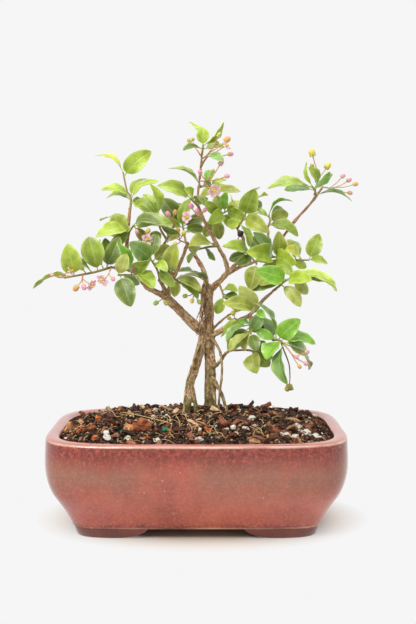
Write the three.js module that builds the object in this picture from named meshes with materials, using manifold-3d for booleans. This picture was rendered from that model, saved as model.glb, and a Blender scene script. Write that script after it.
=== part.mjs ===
// A small flowering tree trained over two arching roots, in an oval-cornered glazed pot.
// Millimetres, +Z up. The pot stands on Z = 0, and the origin is under the middle of the whole piece.
import * as THREE from "three";
import { mergeVertices } from "three/addons/utils/BufferGeometryUtils.js";
import Module from "manifold-3d";

const wasm = await Module();
wasm.setup();

// Pot sizes
const POT_WIDTH = 208;
const POT_DEPTH = 156;
const RIM_HEIGHT = 67;
const LIP_WIDTH = 9;
const FLOOR_UNDER = 7;
const FLOOR_TOP = 15;
const FOOT_WIDTH = 10;
const SQUARENESS = { foot: 8, rim: 4.6 };
const POT_SIDES = 36;

// Circles nearer the middle than this fade from the oblong back to round ones
const ROUND_WITHIN = 60;

// Gaps between feet, as half widths where they meet the table and where they meet the floor of the pot
const FRONT_GAP = { low: 57, high: 32 };
const SIDE_GAP = { low: 34, high: 19 };

// Drainage holes and the plastic mesh squares over them
const DRAIN_OFFSET = 45;
const DRAIN_RADIUS = 7;
const DRAIN_SIDES = 14;
const MESH_SIDE = 30;
const MESH_THICKNESS = 1.2;
const MESH_HOLE = 6;
const MESH_HOLES_PER_SIDE = 3;

// Soil
const SOIL_EDGE = 63;
const SOIL_RISE = 14.5;
const SOIL_RINGS = [87, 74, 56, 32];
const SOIL_SIDES = 30;
const GRAIN_COUNT = 7;

// Distances between pieces that touch
const GAP = 0.3;
const LEAF_CLEARANCE = 0.5;

// Leaves and flowers
const LEAF_THICKNESS = 0.7;
const PETIOLE_WIDTH = 1.1;
const PETAL_THICKNESS = 0.7;
const PETALS = 5;
const SHOOT_RADIUS = { base: 0.95, tip: 0.6 };
const SHOOT_SIDES = 4;
const STALK_RADIUS = { base: 0.7, tip: 0.5 };
const STALK_SIDES = 3;
const PEDICEL_RADIUS = 0.45;
const PEDICEL_STEP = 0.14;
const SMALL_BUD = 4.2;
const BUD_LENGTH = 1.2;

// The point that every sighted place below is seen from
const EYE = new THREE.Vector3(7.9, -748, 202);

// Bark colours, glaze and leaf greens
const COLOURS = {
  pot: 0x8a4a3a,
  soil: 0x3a2c22,
  mesh: 0x20231f,
  bark: 0x7d6a4f,
  leaf: 0x6f8f35,
  paleLeaf: 0xa5bb55,
  flower: 0xc9803f,
  pod: 0x4a3527,
  chip: 0x9a5a36,
  perlite: 0xe9e4da,
};

// Limbs, roots and twigs as sighted places with the radius at each: [across, up, back, radius]
const LIMBS = {
  trunk: {
    sides: 10,
    steps: 2,
    path: [
      [9.3, 63.7, 18, 5.5],
      [9.3, 81.9, 18, 4.4],
      [9.7, 106.5, 18, 4],
      [9, 120.9, 18, 3.8],
      [7.9, 131.7, 18, 5.5],
      [8.3, 142.5, 18, 3.3],
      [7.5, 153.3, 18, 3.1],
      [7.2, 161.9, 18, 4.8],
      [6.8, 168.3, 19, 2.9],
    ],
  },
  left_limb: {
    sides: 8,
    steps: 2,
    path: [
      [7.2, 131.7, 18, 3.7],
      [-2.5, 139.6, 16, 3.5],
      [-9.6, 146.8, 14, 3.3],
      [-16.8, 153.6, 12, 3.1],
      [-22.8, 160.1, 10, 2.9],
    ],
  },
  left_fork: {
    sides: 6,
    steps: 1,
    path: [
      [-21.4, 159, 10, 2.5],
      [-29.9, 163.3, 8, 2],
      [-35.6, 166.1, 7, 1.8],
      [-39.9, 171.1, 6, 1.6],
      [-42.7, 175.4, 5, 1.4],
      [-49.1, 178.3, 2, 1.2],
      [-61.2, 180.4, -4, 1],
    ],
  },
  left_stub: {
    sides: 5,
    steps: 1,
    path: [
      [-22.1, 161.1, 10, 1.8],
      [-24.9, 168.3, 9, 1.6],
      [-27.1, 171.9, 8, 1.5],
    ],
  },
  left_riser: {
    sides: 5,
    steps: 1,
    path: [
      [-20.7, 160.4, 11, 2],
      [-17.8, 170.4, 13, 1.7],
      [-13.5, 179.7, 16, 1.5],
      [-9.9, 188.2, 18, 1.4],
      [-6.3, 198.2, 20, 1.2],
    ],
  },
  left_twig: {
    sides: 4,
    steps: 1,
    path: [
      [-16.3, 174, 15, 1.2],
      [-22.7, 183.3, 11, 0.9],
      [-26.3, 191.1, 8, 0.9],
      [-22, 198.9, 8, 0.8],
      [-15.6, 210.9, 10, 0.7],
    ],
  },
  left_upright: {
    sides: 5,
    steps: 1,
    path: [
      [-42, 174.7, 5, 1.5],
      [-47, 183.3, 9, 1.5],
      [-49.8, 192.5, 12, 1.5],
      [-49, 206.7, 16, 1.4],
      [-47.5, 222.3, 20, 1],
    ],
  },
  back_limb: {
    sides: 6,
    steps: 1,
    path: [
      [6.5, 162.6, 19, 2.2],
      [5.8, 175.4, 24, 1.8],
      [-0.65, 187.5, 30, 1.6],
      [-7.8, 198.2, 37, 1.1],
    ],
  },
  crown_left: {
    sides: 5,
    steps: 1,
    path: [
      [5.8, 161.1, 17, 1.8],
      [-4.9, 166.9, 12, 1.5],
      [-13.5, 169.7, 8, 1.2],
    ],
  },
  crown_right: {
    sides: 6,
    steps: 1,
    path: [
      [8.6, 162.6, 18, 2.6],
      [17.9, 171.9, 16, 2],
      [22.9, 177.6, 14, 1.9],
    ],
  },
  leader: {
    sides: 5,
    steps: 1,
    path: [
      [22.2, 176.1, 14, 1.8],
      [20, 185.4, 16, 1.6],
      [15, 195.3, 20, 1.4],
      [7.9, 208.1, 22, 1.3],
      [1.5, 222.3, 20, 1.1],
      [0.81, 230.7, 17, 1],
      [2.2, 245.5, 14, 0.9],
      [3.5, 259.6, 11.5, 0.8],
    ],
  },
  right_riser: {
    sides: 5,
    steps: 1,
    path: [
      [22.2, 176.1, 14, 1.7],
      [28.6, 184, 12, 1.4],
      [33.5, 192.5, 8, 1.2],
      [32.8, 201, 6, 1.1],
      [28.5, 207.4, 4, 0.9],
    ],
  },
  right_branch: {
    sides: 5,
    steps: 1,
    path: [
      [21.4, 175.4, 15, 1.7],
      [30.7, 180.4, 18, 1.4],
      [44.9, 186.1, 24, 1.2],
      [50.6, 195.3, 29, 1],
      [50.5, 208.8, 32, 0.8],
    ],
  },
  right_tall: {
    sides: 5,
    steps: 1,
    path: [
      [45.7, 186.1, 24, 1.1],
      [58.4, 198.2, 34, 1],
      [69, 212.4, 40, 1],
      [81, 225.8, 44, 0.9],
      [88.7, 236.4, 46, 0.8],
    ],
  },
  right_limb: {
    sides: 6,
    steps: 1,
    path: [
      [7.9, 131, 16, 3.3],
      [14.3, 133.2, 15, 2.2],
      [29.4, 141.8, 8, 1.7],
      [37.9, 146.1, 4, 1.5],
      [45.8, 155.4, -3, 1.3],
      [57.9, 166.1, -13, 1],
    ],
  },
  thin_twig: {
    sides: 4,
    steps: 1,
    path: [
      [10, 134.6, 18, 1.1],
      [16.5, 141.1, 20, 0.8],
      [25.1, 147.5, 22, 0.7],
      [35.8, 151.1, 24, 0.7],
    ],
  },
  hanging_twig: {
    sides: 4,
    steps: 1,
    path: [
      [37.9, 146.1, 4, 1.2],
      [46.6, 134.6, -4, 0.9],
      [54.5, 128.1, -10, 0.8],
    ],
  },
  lowest_twig: {
    sides: 4,
    steps: 1,
    path: [
      [9.3, 105.8, 17, 1.8],
      [17.2, 113.7, 12, 1.2],
      [23, 120.2, 8, 1],
      [37.3, 120.9, 2, 0.8],
    ],
  },
  left_root: {
    sides: 8,
    steps: 2,
    path: [
      [5, 130.3, 17, 3.5],
      [1.4, 117.3, 12, 3],
      [-1.4, 106.5, 9, 2.7],
      [-4.3, 96.4, 6, 2.5],
      [-6.5, 81.9, 1, 2.6],
      [-8, 65.9, -2, 3],
    ],
  },
  left_root_branch: {
    sides: 5,
    steps: 1,
    path: [
      [-5.7, 100.7, 7, 2.2],
      [-2.2, 87, 1, 1.6],
      [0.7, 66.6, -4, 1.6],
    ],
  },
  thin_left_root: {
    sides: 4,
    steps: 1,
    path: [
      [1.5, 126, 10, 1.2],
      [-2.5, 112.3, 4, 0.9],
      [-6.8, 98.6, -1, 0.9],
      [-9, 81.9, -6, 0.9],
      [-10.8, 65.2, -11, 1],
    ],
  },
  thin_right_root: {
    sides: 4,
    steps: 1,
    path: [
      [10.8, 129.6, 14, 1.3],
      [16.5, 119.5, 9, 0.9],
      [17.9, 105.1, 6, 0.8],
      [15.8, 84.8, 4, 0.9],
      [15.8, 65.9, 4, 1],
    ],
  },
  right_root: {
    sides: 5,
    steps: 1,
    path: [
      [9.3, 102.2, 17, 2.2],
      [14.4, 95.7, 12, 1.4],
      [19.4, 84.8, 7, 1.3],
      [23.8, 64.4, 2, 1.4],
    ],
  },
  inner_root: {
    sides: 4,
    steps: 1,
    path: [
      [10.1, 99.3, 15, 1.5],
      [12.9, 84.8, 10, 0.9],
      [13.7, 64.4, 8, 1],
    ],
  },
  hanging_root: {
    sides: 4,
    steps: 1,
    path: [
      [5, 159.7, 15, 1.1],
      [2.9, 147.5, 9, 0.7],
      [5.8, 134.6, 13, 0.9],
    ],
  },
  hanging_root_right: {
    sides: 4,
    steps: 1,
    path: [
      [9.3, 159, 15, 1.1],
      [11.5, 148.3, 11, 0.7],
      [10, 134.6, 13, 0.9],
    ],
  },
};

// Leafy shoots. A leaf is [share of the shoot's length where it grows, then its sighted tip: across,
// up, back; width; turn towards the sky in degrees; upward bow as a share of its length].
const SPRAYS = {
  leaf_spray_left_tip: {
    shoot: [[-60.5, 180.4, -4], [-72.7, 176.8, -11], [-83.4, 174.7, -16], [-94.8, 172.6, -19]],
    leaves: [
      [0.84, -117, 165, -24, 11, 55, 0.03],
      [0.8, -92, 197, -26, 13, 0, 0],
      [0.56, -91, 184, -6, 6.5, 30, 0.03],
      [0.31, -77, 202, -15, 14.5, 0, 0],
      [0.13, -55, 202, -4, 10, 0, 0],
      [0.18, -69, 200, 8, 10, -50, 0],
      [0.12, -65, 201, 4, 9.5, 25, 0],
      [0.44, -89, 186, -24, 7.5, 40, 0.01],
    ],
  },
  leaf_spray_left_low: {
    shoot: [[-41.3, 174, 5], [-49.1, 174.7, -4], [-56.3, 174.7, -12]],
    leaves: [
      [0.91, -47, 152, -20, 13, 0, 0],
      [0.81, -41, 168, -8, 5.5, 0, 0],
      [1, -50, 190, -20, 8.5, 0, 0],
      [0.34, -57, 198, -14, 11, 60, -0.09],
      [0.29, -31, 165, -16, 13, 0, 0.03],
      [0.15, -33, 188, -8, 8, -30, 0],
    ],
  },
  leaf_spray_left_crown: {
    shoot: [[-49, 209.5, 17], [-46.7, 228.6, 21], [-49.5, 234.3, 22], [-52.3, 247.6, 24]],
    leaves: [
      [1, -72, 259, 26, 9.5, 75, 0.05],
      [0.91, -32, 262, 20, 12, 0, 0.08],
      [0.51, -68, 235, 14, 9, 60, 0.03],
      [0.47, -64, 229, 30, 8, 65, 0.04],
      [0.51, -35, 243, 32, 8.5, 60, 0.08],
      [0.49, -27, 241, 16, 9.5, 65, 0.07],
      [0.42, -28, 212, 10, 10.5, 30, 0.08],
      [0.4, -38, 228, 30, 5, 35, 0],
    ],
  },
  leaf_spray_left_shoulder: {
    shoot: [[-49, 203.9, 16], [-46.8, 207.4, 10], [-44.7, 210.2, 4]],
    leaves: [
      [0.51, -63, 210, 16, 14.5, 0, 0.03],
      [0.32, -72, 202, 2, 10.5, 65, 0.02],
      [0.51, -69, 213, 22, 10.5, 70, 0.03],
      [0.92, -26, 211, -8, 9, 45, 0.09],
      [0.65, -18, 211, 12, 11, 60, 0.08],
      [0.51, -62, 195, 10, 7.5, 30, 0.03],
      [0.92, -36, 199, 14, 6.5, 5, 0],
    ],
  },
  leaf_spray_left_inner: {
    shoot: [[-26.3, 169.7, 9], [-27.7, 176.8, 2], [-30.6, 182.5, -5], [-34.1, 187.5, -10]],
    leaves: [
      [0.88, -48, 198, -14, 12, 0, 0.03],
      [0.68, -21, 177, -16, 6.5, 25, 0.08],
      [0.46, -16, 166, -6, 7, 0, 0.03],
      [0.93, -29, 204, -6, 8.5, 0, 0],
      [0.76, -16, 178, 2, 7, 25, 0.06],
      [0.81, -19, 195, 10, 9, 45, 0.03],
      [0.88, -46, 183, -18, 6.5, 0, 0.03],
      [0.88, -38, 200, 6, 8, 30, 0],
    ],
  },
  leaf_spray_left_high: {
    shoot: [[-21.3, 199.6, 8], [-26.2, 208.1, 6], [-27.6, 216.6, 4]],
    leaves: [
      [1, -34, 240, 0, 9.5, 60, 0],
      [0.96, -38, 232, 10, 8, 45, 0],
      [0.65, -13, 205, -4, 7, 0, 0.03],
      [0.31, -36, 198, 0, 7, 0, 0.03],
    ],
  },
  leaf_spray_crown_left: {
    shoot: [[-12.8, 169.7, 8], [-16.4, 172.6, 0], [-19.2, 177.6, -6]],
    leaves: [
      [0.92, -15, 197, -12, 12, 0, 0],
      [0.36, 3, 163, -4, 8, 40, 0.03],
      [0.18, 1, 158, 10, 8, 40, 0.02],
      [0.29, -16, 159, 0, 6.5, 0, 0],
      [0.66, -26, 188, 0, 8, 0, 0],
    ],
  },
  leaf_spray_crown_front: {
    shoot: [[7.9, 166.1, 17], [6.5, 170.4, 4], [3.6, 172.6, -6]],
    leaves: [
      [0.34, -13, 177, -14, 12, 45, 0.04],
      [0.48, -16, 170, -8, 10, 60, 0.04],
    ],
  },
  leaf_spray_middle_back: {
    shoot: [[-7.8, 197.5, 37], [-9.2, 205.3, 44], [-10.6, 212.4, 50]],
    leaves: [
      [0.99, -25, 229, 52, 12, 0, 0],
      [0.9, -19, 217, 58, 8.5, 0, 0.03],
      [0.71, -26, 212, 42, 7, 25, 0.03],
      [0.8, 4, 215, 56, 8.5, 0, 0.03],
      [0.71, 5, 207, 50, 7, 0, 0.03],
      [0.52, 2, 222, 62, 11, -50, 0],
      [0.33, -22, 198, 60, 9.5, 40, 0.03],
      [0.71, -5, 229, 46, 9, 25, 0],
      [0.95, -16, 226, 40, 8, 0, 0.04],
    ],
  },
  leaf_spray_leader_low: {
    shoot: [[1.5, 223, 19], [-2, 226.5, 10], [-4.9, 229.3, 2]],
    leaves: [
      [0.88, -28, 238, -6, 10.5, 40, 0.03],
      [0.77, -9, 236, -10, 7, 55, 0],
      [0.54, 31, 234, -2, 12, 60, 0.04],
      [0.65, 8, 229, 8, 5.5, 0, 0.03],
      [0.77, 5, 224, -8, 6.5, 30, 0.03],
    ],
  },
  leaf_spray_leader_middle: {
    shoot: [[1.9, 237.1, 16], [5.8, 237.8, 22], [10, 237.8, 28]],
    leaves: [
      [0.13, -20, 250, 14, 10.5, 60, 0.1],
      [0.66, 9, 249, 34, 6.5, 0, 0],
      [0.92, 21, 242, 34, 6, 55, 0.03],
      [0.32, 10, 239, 6, 6, 45, 0.03],
    ],
  },
  leaf_spray_top: {
    shoot: [[3.6, 259.6, 11.5], [4.1, 263.1, 10], [4.5, 266.6, 8]],
    leaves: [
      [0.9, 4, 279, 7, 8, 0, 0],
      [0.9, -6, 283, 14, 8.5, 70, -0.02],
      [0.9, 19, 283, 6, 9, -70, 0],
      [0.59, -10, 263, 4, 6, 60, 0.02],
      [0.59, 24, 264, 20, 9, 65, -0.03],
    ],
  },
  leaf_spray_top_low: {
    shoot: [[2.7, 251.2, 13], [5.1, 255.4, 7], [7.9, 258.9, 2]],
    leaves: [
      [1, 19, 255, -6, 5.5, 25, 0.08],
    ],
  },
  leaf_spray_middle_front: {
    shoot: [[15, 195.3, 19], [7.9, 194.6, 9], [-0.64, 192.5, 1]],
    leaves: [
      [0.12, -5, 195, -8, 12, 60, 0.05],
      [0.88, -6, 195, -8, 5.5, 20, 0.07],
      [0.67, 13, 185, -2, 5.5, -50, 0.11],
      [0.92, -6, 183, -6, 5.5, 60, 0],
    ],
  },
  leaf_spray_centre_high: {
    shoot: [[6.5, 210.9, 22], [13.6, 215.9, 26], [21.4, 220.1, 30]],
    leaves: [
      [0.91, 21, 234, 24, 6.5, 25, 0],
      [1, 28, 224, 24, 5, 0, 0],
      [0.64, 5, 227, 18, 7, 0, 0.03],
      [0.96, 31, 227, 36, 5.5, 30, 0.03],
      [0.49, 16, 200, 24, 8, 0, 0.02],
      [0.78, 13, 231, 36, 6.5, 0, 0],
      [0.82, 8, 211, 10, 9, 20, 0.03],
      [0.96, 36, 214, 18, 7.5, 25, 0.03],
      [0.67, 29, 209, 28, 8, 0, 0.03],
      [0.4, 6, 202, 34, 6.5, 15, 0],
    ],
  },
  leaf_spray_centre_low: {
    shoot: [[15.7, 169, 16], [17.9, 163.3, 8], [19.3, 158.3, 0]],
    leaves: [
      [0.85, 30, 156, -10, 6.5, 40, 0.02],
      [0.92, 29, 148, -12, 7.5, 30, 0.06],
      [0.58, 29, 163, -8, 7, 55, 0.01],
      [0.85, 14, 147, 6, 7, 0, 0],
      [0.64, 24, 152, 4, 6.5, 0, 0],
    ],
  },
  leaf_spray_right_top: {
    shoot: [[28.5, 207.4, 4], [32.8, 214.5, 0], [35.6, 220.9, -4]],
    leaves: [
      [0.7, 41, 236, -8, 12, 0, 0],
      [0.64, 51, 205, -14, 10, 0, 0.03],
      [0.94, 24, 232, -12, 7, -45, 0],
      [0.96, 47, 218, -16, 6.5, 50, 0.09],
      [1, 45, 237, 8, 9, 60, 0.09],
      [1, 50, 231, 18, 11.5, 70, 0.03],
      [0.43, 22, 210, 8, 7, 0, 0],
      [0.27, 37, 195, -2, 7, 0, 0],
      [0.94, 46, 226, 2, 5.5, 35, 0.03],
    ],
  },
  leaf_spray_right_back: {
    shoot: [[50.5, 208.8, 32], [51.9, 213.1, 40], [51.2, 217.3, 46]],
    leaves: [
      [0.77, 38, 220, 44, 6, 45, 0.06],
      [0.63, 60, 223, 50, 7, 0, 0],
      [1, 68, 227, 40, 8, 45, 0.11],
      [0.47, 65, 218, 56, 9.5, 55, 0.06],
      [0.28, 65, 208, 40, 6, 15, 0.03],
      [0.12, 72, 202, 30, 9, 65, 0.08],
    ],
  },
  leaf_spray_right_middle: {
    shoot: [[46.4, 186.8, 23], [53.5, 187.5, 13], [62, 187.5, 5], [70.6, 185.4, -2], [79.8, 185.4, -6]],
    leaves: [
      [0.3, 40, 205, 2, 10, 45, 0],
      [0.27, 35, 191, -16, 12, 60, 0.03],
      [0.47, 58, 206, -4, 9.5, 0, 0],
      [0.78, 64, 200, -8, 6.5, 40, 0],
      [0.85, 66, 200, 8, 8, 55, -0.07],
      [0.86, 63, 193, -20, 8.5, 55, 0.02],
      [1, 87, 204, -6, 10, 0, 0],
      [0.98, 93, 183, 4, 7, 45, 0.03],
      [0.34, 71, 183, -24, 12, 40, 0.03],
      [0.12, 38, 202, 28, 9.5, 0, 0],
      [0.66, 78, 180, 0, 5.5, 0, 0],
      [0.58, 47, 180, 6, 7, 25, 0.02],
    ],
  },
  leaf_spray_right_inner: {
    shoot: [[33.5, 192.5, 8], [38.5, 187.5, -2], [42.8, 182.5, -9]],
    leaves: [
      [0.63, 28, 182, -14, 6.5, 5, 0.03],
      [0.96, 38, 164, -14, 11.5, 0, 0],
      [0.63, 18, 195, -14, 10, 55, 0.03],
      [0.8, 51, 184, -18, 6, 35, 0.07],
      [0.24, 23, 185, 4, 6.5, 0, 0.02],
    ],
  },
  leaf_spray_right_tip: {
    shoot: [[57.9, 166.1, -13], [62.8, 170.4, -20], [69.2, 172.6, -25], [77.8, 171.9, -28]],
    leaves: [
      [0.44, 42, 178, -30, 11.5, 0, 0.03],
      [0.61, 99, 168, -34, 12, 60, 0.04],
      [0.95, 100, 163, -22, 10, 60, 0.06],
      [0.42, 82, 171, -40, 9.5, 25, 0.03],
      [0.14, 74, 152, -22, 8.5, 20, 0.04],
      [0.39, 44, 168, -16, 7.5, 35, 0.03],
      [0.72, 59, 183, -14, 7, 0, 0.03],
      [0.28, 39, 164, -14, 9, 30, 0.03],
      [0.63, 79, 161, -26, 7, 0, 0.02],
    ],
  },
  leaf_spray_right_under: {
    shoot: [[46.5, 155.4, -3], [43.6, 151.1, -12], [41.5, 148.3, -18]],
    leaves: [
      [0.71, 30, 167, -22, 10.5, 0, 0],
      [0.89, 18, 154, -22, 9.5, 50, 0.06],
      [0.78, 49, 144, -24, 5, 0, 0],
    ],
  },
  leaf_spray_right_tall: {
    shoot: [[84.5, 230, 45], [83.8, 234.3, 40], [81.6, 237.8, 34]],
    leaves: [
      [0.77, 50, 236, 26, 12, 65, -0.02],
      [0.52, 62, 235, 44, 8.5, 45, 0.01],
      [0.88, 78, 255, 36, 7.5, -70, 0],
      [0.67, 79, 251, 26, 8, 55, 0.08],
      [0.12, 110, 227, 38, 10.5, 45, 0.03],
      [0.67, 94, 248, 30, 7, -50, 0],
    ],
  },
  leaf_spray_lower_right: {
    shoot: [[54.5, 128.1, -10], [58.8, 128.1, -18], [62.4, 125.3, -25]],
    leaves: [
      [0.26, 41, 155, -20, 12, 60, 0.04],
      [0.44, 74, 143, -26, 12, 0, 0.04],
      [0.64, 85, 125, -26, 10, 45, 0.1],
      [0.9, 77, 120, -12, 8.5, 40, 0.04],
      [1, 80, 107, -6, 12, 40, 0],
      [0.94, 65, 96, -38, 12, -55, 0],
      [0.63, 50, 114, -30, 13, 0, 0],
      [0.18, 44, 145, 0, 9, 45, 0],
      [0.26, 42, 135, -12, 6.5, 0, 0.02],
    ],
  },
  leaf_spray_lower_middle: {
    shoot: [[37.9, 144.7, 3], [38, 138.2, -6], [38.7, 132.5, -13]],
    leaves: [
      [0.94, 43, 120, -22, 8, 0, 0],
      [0.89, 47, 148, -18, 8, 0, 0],
      [0.66, 34, 120, -18, 9.5, 0, 0],
      [0.49, 21, 127, -8, 8, 60, 0.03],
      [0.61, 22, 121, 4, 10, 40, 0],
      [0.31, 44, 134, -12, 5, -15, 0],
      [0.18, 50, 132, 0, 6, 55, 0.07],
      [0.43, 30, 141, -12, 4.5, 20, 0],
      [0.37, 17, 130, 2, 9, 30, 0.01],
      [0.94, 23, 120, -12, 8, 25, 0.02],
    ],
  },
  leaf_spray_lowest_right: {
    shoot: [[37.3, 120.9, 2], [39.4, 120.2, -6], [40.9, 118.8, -12]],
    leaves: [
      [0.79, 43, 104, -20, 11.5, 0, 0],
      [0.79, 52, 109, -10, 10, 0, 0.03],
      [0.57, 49, 127, -12, 7, 0, 0],
      [0.4, 54, 115, 4, 8, 0, 0.03],
    ],
  },
};

// Flower stalks with what they carry: [across, up, back, size, kind]
const CLUSTERS = {
  flower_cluster_top: {
    stalk: [[3.2, 256.8, 12], [6.5, 258.9, 7], [10, 263.1, 2]],
    heads: [
      [15.7, 273.6, 2, 3.9, "bud"],
      [14.3, 268, 8, 2.9, "bud"],
      [21.3, 270.4, 0, 5, "bud"],
      [19.9, 265.9, -2, 4.3, "bloom"],
      [23.8, 260.3, 6, 3.9, "bud"],
    ],
  },
  bud_stalk_top_left: {
    stalk: [[3.4, 258.2, 12], [0.12, 263.1, 17], [-3.4, 267.3, 20]],
    heads: [
      [-5.2, 269.4, 20, 3.6, "bud"],
      [-2.7, 270.8, 24, 2.9, "bud"],
    ],
  },
  flower_cluster_leader: {
    stalk: [[1.9, 241.3, 15], [5.1, 241.3, 8], [8.6, 242, 2]],
    heads: [
      [17.1, 254, 0, 4.3, "bud"],
      [11.4, 248.3, -4, 3.2, "bud"],
      [2.2, 247.6, -2, 3.6, "bud"],
      [21.4, 244.8, -4, 3.9, "bud"],
      [11.8, 235, -6, 6.4, "bloom"],
    ],
  },
  flower_cluster_centre: {
    stalk: [[5.1, 213.8, 22], [2.2, 215.9, 12], [0.09, 217.3, 6]],
    heads: [
      [-4.2, 223.7, 0, 4.3, "bud"],
      [0.09, 220.1, -4, 4.3, "bud"],
      [5.8, 220.9, 2, 3.6, "bud"],
      [-6.3, 215.9, 2, 5.7, "bloom"],
    ],
  },
  flower_cluster_left_high: {
    stalk: [[-15.6, 210.9, 10], [-18.4, 214.5, 4]],
    heads: [
      [-20.5, 218, 0, 4.3, "bud"],
      [-15.5, 219.4, 2, 3.6, "bud"],
    ],
  },
  flower_cluster_riser: {
    stalk: [[-7, 197.5, 20], [-11.3, 198.9, 12], [-13.4, 200.3, 6]],
    heads: [
      [-17.7, 202.4, 4, 3.6, "bud"],
      [-9.2, 204.6, 0, 3.9, "bud"],
      [-13.4, 206.7, 2, 3.6, "bud"],
      [-15.6, 196.8, -2, 3.6, "bud"],
    ],
  },
  flower_cluster_left_shoulder: {
    stalk: [[-49.7, 195.3, 12], [-44, 197.5, 4], [-40.5, 199.6, -2]],
    heads: [
      [-42.6, 205.3, -6, 3.6, "bud"],
      [-34.8, 206, -4, 3.9, "bud"],
      [-36.2, 199.6, -10, 5.7, "bloom"],
    ],
  },
  bloom_left_twig: {
    stalk: [[-61.2, 180.4, -4], [-62, 177.6, -12], [-63.4, 174.7, -17]],
    heads: [
      [-66.3, 171.9, -20, 6.4, "bloom"],
      [-59.9, 171.9, -20, 3.6, "bud"],
    ],
  },
  bud_pair_left_tip: {
    stalk: [[-81.2, 175.4, -15], [-82, 171.1, -20]],
    heads: [
      [-86.3, 165.4, -22, 4.6, "bud"],
      [-80.6, 166.1, -24, 4.3, "bud"],
      [-76.3, 168.3, -22, 5.7, "bloom"],
    ],
  },
  bud_stalk_left_end: {
    stalk: [[-92.7, 173.3, -18], [-97.7, 172.9, -22], [-101.2, 174, -24]],
    heads: [
      [-103.3, 174.7, -24, 2.6, "bud"],
      [-91.2, 177.2, -25, 4.3, "bloom"],
    ],
  },
  flower_cluster_right_tall: {
    stalk: [[83.1, 231.4, 45], [85.1, 239.2, 38], [86.5, 245.5, 36]],
    heads: [
      [81.4, 261, 34, 5.7, "bud"],
      [92.5, 251.9, 38, 5.4, "bud"],
      [94.3, 245.5, 32, 3.6, "bud"],
      [81.5, 251.9, 32, 3.6, "bud"],
    ],
  },
  flower_cluster_right_end: {
    stalk: [[88.7, 237.1, 46], [94.4, 236.4, 50], [98.6, 237.1, 52]],
    heads: [
      [107.8, 242, 54, 3.9, "bud"],
      [112.4, 239.2, 50, 3.9, "bud"],
      [108.6, 232.9, 56, 3.9, "bud"],
      [103.5, 244.8, 48, 3.6, "bud"],
    ],
  },
  flower_cluster_lower_right: {
    stalk: [[62.4, 125, -25.2], [65.2, 121.7, -30], [68.9, 116.6, -36]],
    heads: [
      [78.9, 119.5, -38, 3.3, "bud"],
      [73.6, 109, -40, 3, "bud"],
      [78.2, 111.2, -42, 3.4, "bud"],
      [71.4, 115.9, -42, 3.3, "bud"],
    ],
  },
  dried_head_lower_right: {
    stalk: [[60.2, 126.8, -20.8], [61.6, 122.4, -19.5], [66, 110.8, -19], [66.8, 100.7, -20]],
    heads: [
      [66.1, 93.5, -20, 6.4, "pod"],
    ],
  },
  bud_pair_left_limb: {
    stalk: [[-24.2, 161.1, 10], [-25, 157.6, 0]],
    heads: [
      [-29.3, 154.7, -4, 3.9, "bud"],
      [-22.1, 154.7, -2, 3.9, "bud"],
    ],
  },
  flower_cluster_crown: {
    stalk: [[2.2, 161.9, 16], [-2.8, 161.1, 8]],
    heads: [
      [-8.5, 159.7, 4, 3.6, "bud"],
      [-3.5, 156.1, 2, 3.6, "bud"],
      [1.5, 155.4, 4, 3.6, "bud"],
    ],
  },
  dried_pods_right: {
    stalk: [[32.8, 199.6, 7], [27.8, 198.9, 0]],
    heads: [
      [27.8, 197.5, -4, 5, "pod"],
      [30.7, 203.9, -2, 5.4, "pod"],
    ],
  },
  bud_right_limb: {
    stalk: [[29.4, 141.8, 8], [27.2, 143.9, 0]],
    heads: [
      [25.8, 147.5, -4, 3.9, "bud"],
      [22.9, 143.9, -4, 3.2, "bud"],
    ],
  },
};

// A place given by its sight line: across and up where the line crosses the middle plane, then
// how far behind that plane the place lies.
function place([across, up, back]) {
  const onPlane = new THREE.Vector3(across, 0, up);
  return onPlane.sub(EYE).multiplyScalar(1 - back / EYE.y).add(EYE);
}

// A repeatable draw of numbers from 0 to 1
function seededDraw(seed) {
  let state = 7919 * (seed + 1);
  return () => {
    state = (state * 16807) % 2147483647;
    return state / 2147483647;
  };
}

// Solids and meshes
function solidOf(geometry) {
  geometry.deleteAttribute("normal");
  geometry.deleteAttribute("uv");
  const merged = mergeVertices(geometry, 1e-4);
  return new wasm.Manifold(
    new wasm.Mesh({
      numProp: 3,
      vertProperties: merged.attributes.position.array,
      triVerts: new Uint32Array(merged.index.array),
    }),
  );
}

function joined(solids) {
  return wasm.Manifold.union(solids);
}

// The largest body of a solid, without scraps that a cut has loosened
function mainBody(solid) {
  return solid.decompose().sort((a, b) => b.volume() - a.volume())[0];
}

function meshOf(name, solid, colour, roughness) {
  const { vertProperties, triVerts } = mainBody(solid).getMesh();
  const geometry = new THREE.BufferGeometry();
  geometry.setAttribute("position", new THREE.BufferAttribute(vertProperties, 3));
  geometry.setIndex(new THREE.BufferAttribute(triVerts, 1));
  geometry.computeVertexNormals();
  const material = new THREE.MeshStandardMaterial({ color: colour, roughness, metalness: 0 });
  const mesh = new THREE.Mesh(geometry, material);
  mesh.name = name;
  return mesh;
}

// Moves each vertex of a geometry to the point that a rule gives for it
function reshape(geometry, rule) {
  const position = geometry.attributes.position;
  const vertex = new THREE.Vector3();
  for (let i = 0; i < position.count; i++) {
    vertex.fromBufferAttribute(position, i);
    const moved = rule(vertex);
    position.setXYZ(i, moved.x, moved.y, moved.z);
  }
  return geometry;
}

// Pot and soil are turned on a lathe, then each circle is pressed into a rounded oblong
function squareness(height) {
  return SQUARENESS.foot + (SQUARENESS.rim - SQUARENESS.foot) * Math.min(1, height / RIM_HEIGHT);
}

function depthAt(radius) {
  return radius - ((POT_WIDTH - POT_DEPTH) / 2) * Math.min(1, radius / ROUND_WITHIN);
}

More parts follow.
